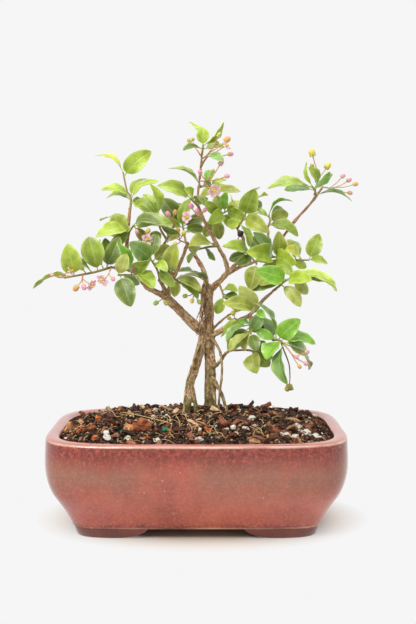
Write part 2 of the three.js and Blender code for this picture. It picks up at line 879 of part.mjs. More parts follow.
function pressed(radius, angle, height) {
  const depth = depthAt(radius);
  const power = (value) => {
    const size = Math.abs(value) < 1e-9 ? 0 : Math.abs(value) ** (2 / squareness(height));
    return Math.sign(value) * size;
  };
  return [radius * power(Math.cos(angle)), depth * power(Math.sin(angle))];
}

function turned(profile, sides, rise = () => 0) {
  const points = profile.map(([radius, height]) => new THREE.Vector2(radius, height));
  const lathe = new THREE.LatheGeometry(points, sides);
  return reshape(lathe, (vertex) => {
    const radius = Math.hypot(vertex.x, vertex.z);
    const [x, y] = pressed(radius, Math.atan2(-vertex.z, vertex.x), vertex.y);
    return new THREE.Vector3(x, y, vertex.y + rise(x, y, radius, vertex.y));
  });
}

const half = POT_WIDTH / 2;
const FOOT_EDGE = 21;
const OUTER_WALL = [
  [half - FOOT_EDGE, 0],
  [half - 18.4, FLOOR_UNDER - 1],
  [half - 17.6, FLOOR_UNDER + 1],
  [half - 13.3, 16.6],
  [half - 9, 23.5],
  [half - 5, 30],
  [half - 2, 38],
  [half - 0.3, 48],
  [half, RIM_HEIGHT - 5],
  [half - 1.4, RIM_HEIGHT - 1.2],
  [half - LIP_WIDTH / 2, RIM_HEIGHT],
  [half - LIP_WIDTH, RIM_HEIGHT - 2],
];
const INNER_WALL = [
  [half - LIP_WIDTH - 1, 46],
  [half - 15, 30],
  [half - 25, FLOOR_TOP],
];

// A solid block with a side outline that curves in from a wide foot to a narrow top
function gapCutter(gap, length, turn) {
  const outline = new THREE.Shape();
  const top = FLOOR_UNDER;
  outline.moveTo(-gap.low, -2);
  outline.lineTo(-gap.low, 0);
  outline.quadraticCurveTo(-gap.high - 4, 0.5, -gap.high, top);
  outline.lineTo(gap.high, top);
  outline.quadraticCurveTo(gap.high + 4, 0.5, gap.low, 0);
  outline.lineTo(gap.low, -2);
  const block = new THREE.ExtrudeGeometry(outline, {
    depth: length,
    bevelEnabled: false,
    curveSegments: 5,
  });
  block.translate(0, 0, -length / 2).rotateX(Math.PI / 2).rotateZ(turn);
  return solidOf(block);
}

// The pot with its feet: a turned wall and floor, cut by the gaps and the drainage holes
function makePot() {
  const footInner = half - FOOT_EDGE - FOOT_WIDTH;
  const profile = [
    [0, FLOOR_UNDER],
    [footInner - 2, FLOOR_UNDER],
    [footInner, 0],
    ...OUTER_WALL,
    ...INNER_WALL,
    [0, FLOOR_TOP],
  ];
  let pot = solidOf(turned(profile, POT_SIDES));
  pot = pot.subtract(gapCutter(FRONT_GAP, POT_DEPTH + 20, 0));
  pot = pot.subtract(gapCutter(SIDE_GAP, POT_WIDTH + 20, Math.PI / 2));
  for (const side of [-1, 1]) {
    const hole = new THREE.CylinderGeometry(DRAIN_RADIUS, DRAIN_RADIUS, 2 * FLOOR_TOP, DRAIN_SIDES);
    hole.rotateX(Math.PI / 2).translate(side * DRAIN_OFFSET, 0, FLOOR_UNDER);
    pot = pot.subtract(solidOf(hole));
  }
  return pot;
}

// The feet under the floor, one at each corner
function feetOf(pot) {
  const feet = pot.trimByPlane([0, 0, -1], GAP - FLOOR_UNDER).decompose();
  return feet.map((foot) => {
    const corner = foot.boundingBox();
    const depth = corner.min[1] < 0 ? "front" : "back";
    const side = corner.min[0] < 0 ? "left" : "right";
    return ["pot_foot_" + depth + "_" + side, foot];
  });
}

// A square of plastic mesh lying over a drainage hole
function meshBlock(side, grow) {
  const breadth = MESH_SIDE + 2 * grow;
  const block = new THREE.BoxGeometry(breadth, breadth, MESH_THICKNESS + 2 * grow);
  block.translate(side * DRAIN_OFFSET, 0, FLOOR_TOP + GAP + MESH_THICKNESS / 2);
  return solidOf(block);
}

function drainageMesh(side) {
  const pitch = MESH_SIDE / MESH_HOLES_PER_SIDE;
  const middle = (MESH_HOLES_PER_SIDE - 1) / 2;
  let mesh = meshBlock(side, 0);
  for (let i = 0; i < MESH_HOLES_PER_SIDE ** 2; i++) {
    const x = ((i % MESH_HOLES_PER_SIDE) - middle) * pitch;
    const y = (Math.floor(i / MESH_HOLES_PER_SIDE) - middle) * pitch;
    const opening = new THREE.BoxGeometry(MESH_HOLE, MESH_HOLE, 4 * MESH_THICKNESS);
    opening.translate(side * DRAIN_OFFSET + x, y, FLOOR_TOP);
    mesh = mesh.subtract(solidOf(opening));
  }
  return mesh;
}

// Height of the mounded soil above its edge
function soilRise(x, y, radius) {
  const edge = half - LIP_WIDTH - GAP;
  const mound = SOIL_RISE * (1 - (radius / edge) ** 4);
  const ripple = Math.sin(x / 6.1 + y / 9.3) + Math.sin(y / 5.2 - x / 11.7) * 0.8;
  return mound + 0.7 * ripple * Math.min(1, (edge - radius) / 12);
}

function soilHeight(x, y) {
  const step = 3.3;
  const outside = (radius) => {
    const power = SQUARENESS.rim;
    return Math.abs(x / radius) ** power + Math.abs(y / depthAt(radius)) ** power > 1;
  };
  let radius = step;
  while (radius < half && outside(radius)) radius += step;
  return SOIL_EDGE + soilRise(x, y, radius);
}

// A broken lump: a rough many-faced ball, stretched and turned
function lump(centre, size, flatness, turn, grow, draw) {
  const ball = new THREE.IcosahedronGeometry(1, 0);
  const [length, breadth] = size;
  const stretch = new THREE.Vector3(length, breadth, flatness * breadth).multiplyScalar(0.5).addScalar(grow);
  const tilt = new THREE.Euler(0.5 * (draw() - 0.5), 0.5 * (draw() - 0.5), turn);
  const axis = draw() - 0.5;
  reshape(ball, (vertex) => {
    const bulge = 1 + 0.16 * Math.sin(5 * vertex.x + 9 * axis) * Math.cos(4 * vertex.y - 7 * axis);
    return vertex.multiplyScalar(bulge).multiply(stretch).applyEuler(tilt).add(centre);
  });
  return solidOf(ball);
}

// Larger chips and grains that lie loose on the soil: x, y, length, breadth, flatness, turn
const LOOSE_CHIPS = {
  bark_chip_large: [-36, -42, 12, 8, 0.7, 0.3],
  bark_chip_left: [-76, -38, 7, 5, 0.8, 1.1],
  bark_chip_right: [17, -36, 6.5, 4.5, 0.8, 0.4],
  bark_chip_back: [52, 40, 9, 6, 0.7, 2.4],
  perlite_left: [-60, -52, 5, 4.5, 0.9, 0.2],
  perlite_right: [25, -46, 5, 4, 0.9, 2.2],
  perlite_back: [-40, 44, 5, 4.2, 0.9, 1.6],
};

function looseChip(name, grow) {
  const [x, y, length, breadth, flatness, turn] = LOOSE_CHIPS[name];
  const centre = new THREE.Vector3(x, y, soilHeight(x, y) + 0.22 * breadth);
  return lump(centre, [length, breadth], flatness, turn, grow, seededDraw(length + breadth));
}

function makeSoil() {
  const top = half - LIP_WIDTH - GAP;
  const profile = [
    [0, FLOOR_TOP + GAP],
    [half - 25.4, FLOOR_TOP + GAP],
    [half - 15.5, 30],
    [half - LIP_WIDTH - 1 - GAP, 46],
    [top - 0.4, SOIL_EDGE],
    ...SOIL_RINGS.map((radius) => [radius, SOIL_EDGE]),
    [0, SOIL_EDGE],
  ];
  const rise = (x, y, radius, height) => {
    const isTop = height >= SOIL_EDGE && radius < top - 1;
    return isTop ? soilRise(x, y, radius) : 0;
  };
  const parts = [solidOf(turned(profile, SOIL_SIDES, rise))];
  const draw = seededDraw(3);
  for (let i = 0; i < GRAIN_COUNT; i++) {
    const x = (draw() - 0.5) * 2 * (half - 24);
    const y = (draw() - 0.5) * 2 * (POT_DEPTH / 2 - 22);
    const size = 4 + 4.5 * draw();
    const turn = 3 * draw();
    const centre = new THREE.Vector3(x, y, soilHeight(x, y));
    parts.push(lump(centre, [size, size * 0.8], 0.8, turn, 0, draw));
  }
  return joined(parts);
}

// A tapering round limb along a smooth path, with its caps slightly domed
function limb(points, radii, sides, steps, grow = 0) {
  const spans = (points.length - 1) * steps;
  const curve = new THREE.CatmullRomCurve3(points, false, "catmullrom", 0.5);
  const rings = [];
  let across = new THREE.Vector3(0.31, 0.2, 0.93);
  for (let i = 0; i <= spans; i++) {
    const along = curve.getTangent(i / spans);
    across = across.clone().addScaledVector(along, -across.dot(along)).normalize();
    const at = (i / spans) * (radii.length - 1);
    const before = Math.min(Math.floor(at), radii.length - 2);
    const radius = radii[before] + (radii[before + 1] - radii[before]) * (at - before);
    rings.push({
      centre: curve.getPoint(i / spans),
      along,
      across,
      over: across.clone().cross(along),
      radius: radius + grow,
    });
  }
  const tube = new THREE.CylinderGeometry(1, 1, 1, sides, spans);
  return solidOf(
    reshape(tube, (vertex) => {
      const ring = rings[Math.round((vertex.y + 0.5) * spans)];
      const end = Math.sign(vertex.y) * Math.max(0, 0.5 - Math.hypot(vertex.x, vertex.z));
      const atEnd = Math.abs(vertex.y) > 0.499 ? end * ring.radius + Math.sign(vertex.y) * grow : 0;
      return ring.centre
        .clone()
        .addScaledVector(ring.across, vertex.x * ring.radius)
        .addScaledVector(ring.over, vertex.z * ring.radius)
        .addScaledVector(ring.along, atEnd);
    }),
  );
}

function makeWood(grow) {
  const limbs = Object.values(LIMBS).map(({ sides, steps, path }) => {
    const points = path.map(place);
    const radii = path.map((row) => row[3]);
    return limb(points, radii, sides, steps, grow);
  });
  return joined(limbs);
}

// A point on a path of straight stretches, at a share of its length
function pointOnPath(points, share) {
  const lengths = points.slice(1).map((point, i) => point.distanceTo(points[i]));
  let left = share * lengths.reduce((sum, length) => sum + length, 0);
  for (let i = 0; i < lengths.length; i++) {
    if (left <= lengths[i] || i === lengths.length - 1) {
      return points[i].clone().lerp(points[i + 1], Math.min(1, left / lengths[i]));
    }
    left -= lengths[i];
  }
}

// A thin closed sheet: a grid of points on its face, the same grid on its back and a wall round
// the rim, with both sides split into triangles alike. A row may have fewer points than the others.
function sheet(rows, thickness) {
  const points = [];
  const faces = [];
  const numberOf = rows.map((row) =>
    row.map(({ centre, normal }) => {
      points.push(centre.clone().addScaledVector(normal, thickness / 2));
      points.push(centre.clone().addScaledVector(normal, -thickness / 2));
      return points.length - 2;
    }),
  );
  const columns = Math.max(...rows.map((row) => row.length));
  const at = (row, column) => numberOf[row][Math.min(column, numberOf[row].length - 1)];
  const face = (a, b, c) => {
    if (a !== b && b !== c && c !== a) faces.push(a, b, c);
  };
  for (let row = 0; row < rows.length - 1; row++) {
    for (let column = 0; column < columns - 1; column++) {
      const corners = [at(row, column), at(row, column + 1), at(row + 1, column + 1), at(row + 1, column)];
      const [a, b, c, d] = corners;
      face(a, b, c);
      face(a, c, d);
      face(c + 1, b + 1, a + 1);
      face(d + 1, c + 1, a + 1);
    }
  }
  const rim = [];
  for (let column = 0; column < columns - 1; column++) rim.push([at(0, column), at(0, column + 1)]);
  for (let row = 0; row < rows.length - 1; row++) {
    rim.push([at(row, columns - 1), at(row + 1, columns - 1)]);
  }
  for (let column = columns - 1; column > 0; column--) {
    rim.push([at(rows.length - 1, column), at(rows.length - 1, column - 1)]);
  }
  for (let row = rows.length - 1; row > 0; row--) rim.push([at(row, 0), at(row - 1, 0)]);
  for (const [a, b] of rim) {
    if (a === b) continue;
    face(a, a + 1, b + 1);
    face(a, b + 1, b);
  }
  const geometry = new THREE.BufferGeometry().setFromPoints(points);
  return new wasm.Manifold(
    new wasm.Mesh({
      numProp: 3,
      vertProperties: geometry.attributes.position.array,
      triVerts: new Uint32Array(faces),
    }),
  );
}

// Half widths of a leaf along its length, as shares of its own half width, for leaves from each
// width up. The first two rows are the leaf's stem.
const LEAF_OUTLINES = [
  { from: 14, rows: [[0, 0], [0.12, 0], [0.34, 0.84], [0.6, 1], [0.85, 0.66], [1, 0]] },
  { from: 9, rows: [[0, 0], [0.13, 0], [0.4, 1], [0.74, 0.88], [1, 0]] },
  { from: 0, rows: [[0, 0], [0.14, 0], [0.54, 1], [1, 0]] },
];

// Ways to bend a leaf clear of what is already there: how far its tip is pushed back, how much
// further it is turned, and its length
const BENDS = [];
for (const reach of [1, 0.82, 0.66]) {
  for (const push of [0, -6, 6, -12, 12, -18, 18, -25, 25]) {
    for (const turn of [0, 25, -25, 50, -50]) BENDS.push({ push, turn, reach });
  }
}

// The rows of a leaf from its root on the shoot to its tip. Its face turns to the eye, then by its
// own turn towards the sky. It folds along the midrib, arches out of its plane, bows upwards and waves.
function leafRows(root, leaf, habit, bend) {
  const [, across, up, back, width, turn, bow] = leaf;
  const target = place([across, up, back + bend.push]);
  const along = target.clone().sub(root);
  const length = along.length() * bend.reach;
  along.normalize();
  const sight = EYE.clone().sub(root).normalize();
  const towards = sight.addScaledVector(along, -sight.dot(along)).normalize();
  const skyward = along.clone().cross(towards);
  if (skyward.z < 0) skyward.negate();
  const angle = THREE.MathUtils.degToRad(turn + bend.turn);
  const normal = towards.multiplyScalar(Math.cos(angle)).addScaledVector(skyward, Math.sin(angle));
  const curving = normal.clone().multiplyScalar(habit.arch).addScaledVector(skyward, bow);
  const { rows } = LEAF_OUTLINES.find(({ from }) => width >= from);
  return rows.map(([share, breadth], row) => {
    const centre = root.clone().addScaledVector(along, share * length);
    centre.addScaledVector(curving, 4 * share * (1 - share) * length);
    const heading = along.clone().addScaledVector(curving, 4 * (1 - 2 * share)).normalize();
    const facing = normal.clone().addScaledVector(heading, -normal.dot(heading)).normalize();
    const side = heading.clone().cross(facing);
    if (share === 0 || share === 1) return [{ centre, normal: facing }];
    const reach = Math.max(PETIOLE_WIDTH / 2, (breadth * width * Math.sqrt(bend.reach)) / 2);
    return (breadth > 0 ? [-1, 0, 1] : [-1, 1]).map((hand) => {
      const wave = breadth > 0 ? habit.wave * reach * Math.sin(2.4 * row + 1.7 * hand) : 0;
      const fold = Math.abs(hand) * (habit.fold * reach * Math.min(1, breadth) + wave);
      return {
        centre: centre.clone().addScaledVector(side, hand * reach).addScaledVector(facing, fold),
        normal: facing.clone().addScaledVector(side, -hand * habit.fold * 0.8).normalize(),
      };
    });
  });
}

// Everything that later leaves have to stay clear of, each solid with its box
const placed = [];
function keepClearOf(solid, owner) {
  placed.push({ solid, owner, box: solid.boundingBox() });
}

function touches(solid, skipped) {
  const { min, max } = solid.boundingBox();
  return placed.some(
    ({ solid: other, owner, box }) =>
      !skipped.includes(owner) &&
      [0, 1, 2].every((k) => min[k] < box.max[k] && max[k] > box.min[k]) &&
      solid.intersect(other).volume() > 1e-4,
  );
}

function makeShoot(name, carriers) {
  const points = SPRAYS[name].shoot.map(place);
  const radii = [SHOOT_RADIUS.base, SHOOT_RADIUS.tip];
  return mainBody(limb(points, radii, SHOOT_SIDES, 1).subtract(carriers));
}

function makeSpray(name, shoot, seed) {
  const draw = seededDraw(seed);
  const points = SPRAYS[name].shoot.map(place);
  const parts = [shoot];
  for (const leaf of SPRAYS[name].leaves) {
    const habit = { fold: 0.16 + 0.3 * draw(), arch: 0.06 + 0.1 * draw(), wave: 0.06 + 0.1 * draw() };
    const root = pointOnPath(points, leaf[0]);
    const bend = BENDS.find((choice) => {
      const rows = leafRows(root, leaf, habit, choice);
      const blade = sheet(rows.slice(1), LEAF_THICKNESS + 2 * LEAF_CLEARANCE);
      const stem = sheet(rows.slice(0, 2), LEAF_THICKNESS + LEAF_CLEARANCE);
      return !touches(blade, []) && !touches(stem, [name]);
    });
    if (!bend) continue;
    const blade = sheet(leafRows(root, leaf, habit, bend), LEAF_THICKNESS);
    parts.push(blade);
    keepClearOf(blade, name);
  }
  return joined(parts);
}

// Flowers
function bud(centre, along, size) {
  const Ball = size < SMALL_BUD ? THREE.OctahedronGeometry : THREE.IcosahedronGeometry;
  const turn = new THREE.Quaternion().setFromUnitVectors(new THREE.Vector3(0, 0, 1), along);
  return solidOf(
    reshape(new Ball(size / 2, 0), (vertex) =>
      vertex.setZ(vertex.z * BUD_LENGTH).applyQuaternion(turn).add(centre),
    ),
  );
}

function petal(centre, along, outward, length) {
  const side = along.clone().cross(outward);
  const row = (share, breadth, lift) =>
    (breadth > 0 ? [-1, 1] : [0]).map((hand) => ({
      centre: centre
        .clone()
        .addScaledVector(outward, share * length)
        .addScaledVector(side, hand * breadth * length)
        .addScaledVector(along, lift * length),
      normal: along.clone().addScaledVector(outward, -0.4).normalize(),
    }));
  const rows = [row(0.1, 0, 0), row(0.8, 0.36, 0.3), row(1.1, 0.2, 0.24)];
  return sheet(rows, PETAL_THICKNESS);
}

function bloom(centre, along, size) {
  const parts = [bud(centre, along, size * 0.42)];
  const start = new THREE.Vector3(0.3, 0.9, 0.2).cross(along).normalize();
  for (let i = 0; i < PETALS; i++) {
    const outward = start.clone().applyAxisAngle(along, (i * 2 * Math.PI) / PETALS);
    parts.push(petal(centre, along, outward, size * 0.62));
  }
  return joined(parts);
}

function makeCluster(name, carriers) {
  const { stalk, heads } = CLUSTERS[name];
  const path = stalk.map(place);
  const parts = [limb(path, [STALK_RADIUS.base, STALK_RADIUS.tip], STALK_SIDES, 1)];
  heads.forEach(([across, up, back, size, kind], i) => {
    const centre = place([across, up, back]);
    const start = pointOnPath(path, 1 - PEDICEL_STEP * i);
    const along = centre.clone().sub(start).normalize();
    parts.push(limb([start, centre], [PEDICEL_RADIUS, PEDICEL_RADIUS], STALK_SIDES, 1));
    parts.push(kind === "bloom" ? bloom(centre, along, size) : bud(centre, along, size));
  });
  return mainBody(joined(parts).subtract(carriers));
}

// The whole piece
const bonsai = new THREE.Group();

function add(name, solid, colour, roughness) {
  bonsai.add(meshOf(name, solid, colour, roughness));
}

const wood = makeWood(0);
const woodClear = makeWood(GAP);
const pot = makePot();
add("pot", pot.trimByPlane([0, 0, 1], FLOOR_UNDER), COLOURS.pot, 0.25);
for (const [name, foot] of feetOf(pot)) add(name, foot, COLOURS.pot, 0.25);
for (const [name, side] of [["drainage_mesh_left", -1], ["drainage_mesh_right", 1]]) {
  add(name, drainageMesh(side), COLOURS.mesh, 0.6);
}

const meshesClear = joined([meshBlock(-1, GAP), meshBlock(1, GAP)]);
const chipNames = Object.keys(LOOSE_CHIPS);
const chipsClear = joined(chipNames.map((name) => looseChip(name, GAP)));
const soil = makeSoil().subtract(woodClear).subtract(meshesClear).subtract(chipsClear);
add("soil", soil, COLOURS.soil, 0.95);
for (const name of chipNames) {
  const colour = name.startsWith("perlite") ? COLOURS.perlite : COLOURS.chip;
  add(name, looseChip(name, 0), colour, 0.9);
}
add("tree_wood", wood, COLOURS.bark, 0.85);

for (const solid of [woodClear, soil, pot]) keepClearOf(solid, "base");
const shoots = {};
const shootsClear = [woodClear];
for (const name of Object.keys(SPRAYS)) {
  shoots[name] = makeShoot(name, woodClear);
  keepClearOf(shoots[name], name);
  const points = SPRAYS[name].shoot.map(place);
  const radii = [SHOOT_RADIUS.base + GAP, SHOOT_RADIUS.tip + GAP];
  shootsClear.push(limb(points, radii, SHOOT_SIDES, 1));
}
const carriers = joined(shootsClear);
for (const name of Object.keys(CLUSTERS)) {
  const cluster = makeCluster(name, carriers);
  keepClearOf(cluster, name);
  add(name, cluster, name.startsWith("dried") ? COLOURS.pod : COLOURS.flower, 0.6);
}
Object.keys(SPRAYS).forEach((name, i) => {
  add(name, makeSpray(name, shoots[name], i), i % 3 === 1 ? COLOURS.paleLeaf : COLOURS.leaf, 0.5);
});

// The origin goes under the middle of the whole piece
const box = new THREE.Box3().setFromObject(bonsai);
const middle = box.getCenter(new THREE.Vector3());
bonsai.position.set(-middle.x, -middle.y, -box.min.z);

export default bonsai;
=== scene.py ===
import math
import random
import re

import bmesh
import bpy
import numpy as np
from mathutils import Euler, Matrix, Quaternion, Vector, noise
from mathutils.kdtree import KDTree


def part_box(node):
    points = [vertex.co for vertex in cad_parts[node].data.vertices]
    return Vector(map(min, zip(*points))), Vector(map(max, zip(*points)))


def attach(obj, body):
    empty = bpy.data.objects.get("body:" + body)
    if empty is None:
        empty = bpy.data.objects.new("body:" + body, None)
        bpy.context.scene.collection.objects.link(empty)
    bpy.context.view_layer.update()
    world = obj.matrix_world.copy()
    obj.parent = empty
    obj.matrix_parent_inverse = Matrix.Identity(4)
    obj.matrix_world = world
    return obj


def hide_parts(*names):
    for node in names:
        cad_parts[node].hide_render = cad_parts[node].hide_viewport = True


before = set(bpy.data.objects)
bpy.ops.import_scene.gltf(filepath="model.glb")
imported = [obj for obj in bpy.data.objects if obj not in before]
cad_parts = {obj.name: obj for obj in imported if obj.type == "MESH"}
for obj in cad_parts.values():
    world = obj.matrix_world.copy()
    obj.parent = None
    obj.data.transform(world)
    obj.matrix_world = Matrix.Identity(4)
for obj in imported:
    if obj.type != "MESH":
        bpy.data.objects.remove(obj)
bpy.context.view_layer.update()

# Without a seed of its own the vector noise would differ at each run
noise.seed_set(1)

MM = 0.001
POT_LOW, POT_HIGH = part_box("pot")
POT_MIDDLE = Vector(((POT_LOW.x + POT_HIGH.x) / 2, (POT_LOW.y + POT_HIGH.y) / 2, 0))

# The point that every sighted place is seen from, and the camera that stands there
EYE = Vector((7.9, -748, 202)) * MM + POT_MIDDLE
CAMERA_DIP = math.radians(4.11)
CAMERA_LENS = 60.52
SENSOR = 36


def listed(text):
    """Lists of rows by name: rows are parted by semicolons, a bar starts the name's second list of rows."""
    made = {}
    for entry in re.split(r"\n(?=\w)", text.strip()):
        name, parts = entry.split(":")
        made[name] = [
            [[float(word) if word[-1].isdigit() else word for word in row.split()] for row in part.split(";")]
            for part in parts.split("|")
        ]
    return made


# Limbs, roots and twigs: the places along each as across, up, back on its sight line; radius
LIMBS = listed("""
trunk: 9.3 63.7 18 5.5; 9.3 81.9 18 4.4; 9.7 106.5 18 4; 9 120.9 18 3.8; 7.9 131.7 18 5.5; 8.3 142.5 18 3.3;
    7.5 153.3 18 3.1; 7.2 161.9 18 4.8; 6.8 168.3 19 2.9
left_limb: 7.2 131.7 18 3.7; -2.5 139.6 16 3.5; -9.6 146.8 14 3.3; -16.8 153.6 12 3.1; -22.8 160.1 10 2.9
left_fork: -21.4 159 10 2.5; -29.9 163.3 8 2; -35.6 166.1 7 1.8; -39.9 171.1 6 1.6; -42.7 175.4 5 1.4;
    -49.1 178.3 2 1.2; -61.2 180.4 -4 1
left_stub: -22.1 161.1 10 1.8; -24.9 168.3 9 1.6; -27.1 171.9 8 1.5
left_riser: -20.7 160.4 11 2; -17.8 170.4 13 1.7; -13.5 179.7 16 1.5; -9.9 188.2 18 1.4; -6.3 198.2 20 1.2
left_twig: -16.3 174 15 1.2; -22.7 183.3 11 0.9; -26.3 191.1 8 0.9; -22 198.9 8 0.8; -15.6 210.9 10 0.7
left_upright: -42 174.7 5 1.5; -47 183.3 9 1.5; -49.8 192.5 12 1.5; -49 206.7 16 1.4; -47.5 222.3 20 1
back_limb: 6.5 162.6 19 2.2; 5.8 175.4 24 1.8; -0.65 187.5 30 1.6; -7.8 198.2 37 1.1
crown_left: 5.8 161.1 17 1.8; -4.9 166.9 12 1.5; -13.5 169.7 8 1.2
crown_right: 8.6 162.6 18 2.6; 17.9 171.9 16 2; 22.9 177.6 14 1.9
leader: 22.2 176.1 14 1.8; 20 185.4 16 1.6; 15 195.3 20 1.4; 7.9 208.1 22 1.3; 1.5 222.3 20 1.1;
    0.81 230.7 17 1; 2.2 245.5 14 0.9; 3.5 259.6 11.5 0.8
right_riser: 22.2 176.1 14 1.7; 28.6 184 12 1.4; 33.5 192.5 8 1.2; 32.8 201 6 1.1; 28.5 207.4 4 0.9
right_branch: 21.4 175.4 15 1.7; 30.7 180.4 18 1.4; 44.9 186.1 24 1.2; 50.6 195.3 29 1; 50.5 208.8 32 0.8
right_tall: 45.7 186.1 24 1.1; 58.4 198.2 34 1; 69 212.4 40 1; 81 225.8 44 0.9; 88.7 236.4 46 0.8
right_limb: 7.9 131 16 3.3; 14.3 133.2 15 2.2; 29.4 141.8 8 1.7; 37.9 146.1 4 1.5; 45.8 155.4 -3 1.3;
    57.9 166.1 -13 1
thin_twig: 10 134.6 18 1.1; 16.5 141.1 20 0.8; 25.1 147.5 22 0.7; 35.8 151.1 24 0.7
hanging_twig: 37.9 146.1 4 1.2; 46.6 134.6 -4 0.9; 54.5 128.1 -10 0.8
lowest_twig: 9.3 105.8 17 1.8; 17.2 113.7 12 1.2; 23 120.2 8 1; 37.3 120.9 2 0.8
left_root: 5 130.3 17 3.5; 1.4 117.3 12 3; -1.4 106.5 9 2.7; -4.3 96.4 6 2.5; -6.5 81.9 1 2.6; -8 65.9 -2 3
left_root_branch: -5.7 100.7 7 2.2; -2.2 87 1 1.6; 0.7 66.6 -4 1.6
thin_left_root: 1.5 126 10 1.2; -2.5 112.3 4 0.9; -6.8 98.6 -1 0.9; -9 81.9 -6 0.9; -10.8 65.2 -11 1
thin_right_root: 10.8 129.6 14 1.3; 16.5 119.5 9 0.9; 17.9 105.1 6 0.8; 15.8 84.8 4 0.9; 15.8 65.9 4 1
right_root: 9.3 102.2 17 2.2; 14.4 95.7 12 1.4; 19.4 84.8 7 1.3; 23.8 64.4 2 1.4
inner_root: 10.1 99.3 15 1.5; 12.9 84.8 10 0.9; 13.7 64.4 8 1
hanging_root: 5 159.7 15 1.1; 2.9 147.5 9 0.7; 5.8 134.6 13 0.9
hanging_root_right: 9.3 159 15 1.1; 11.5 148.3 11 0.7; 10 134.6 13 0.9
""")

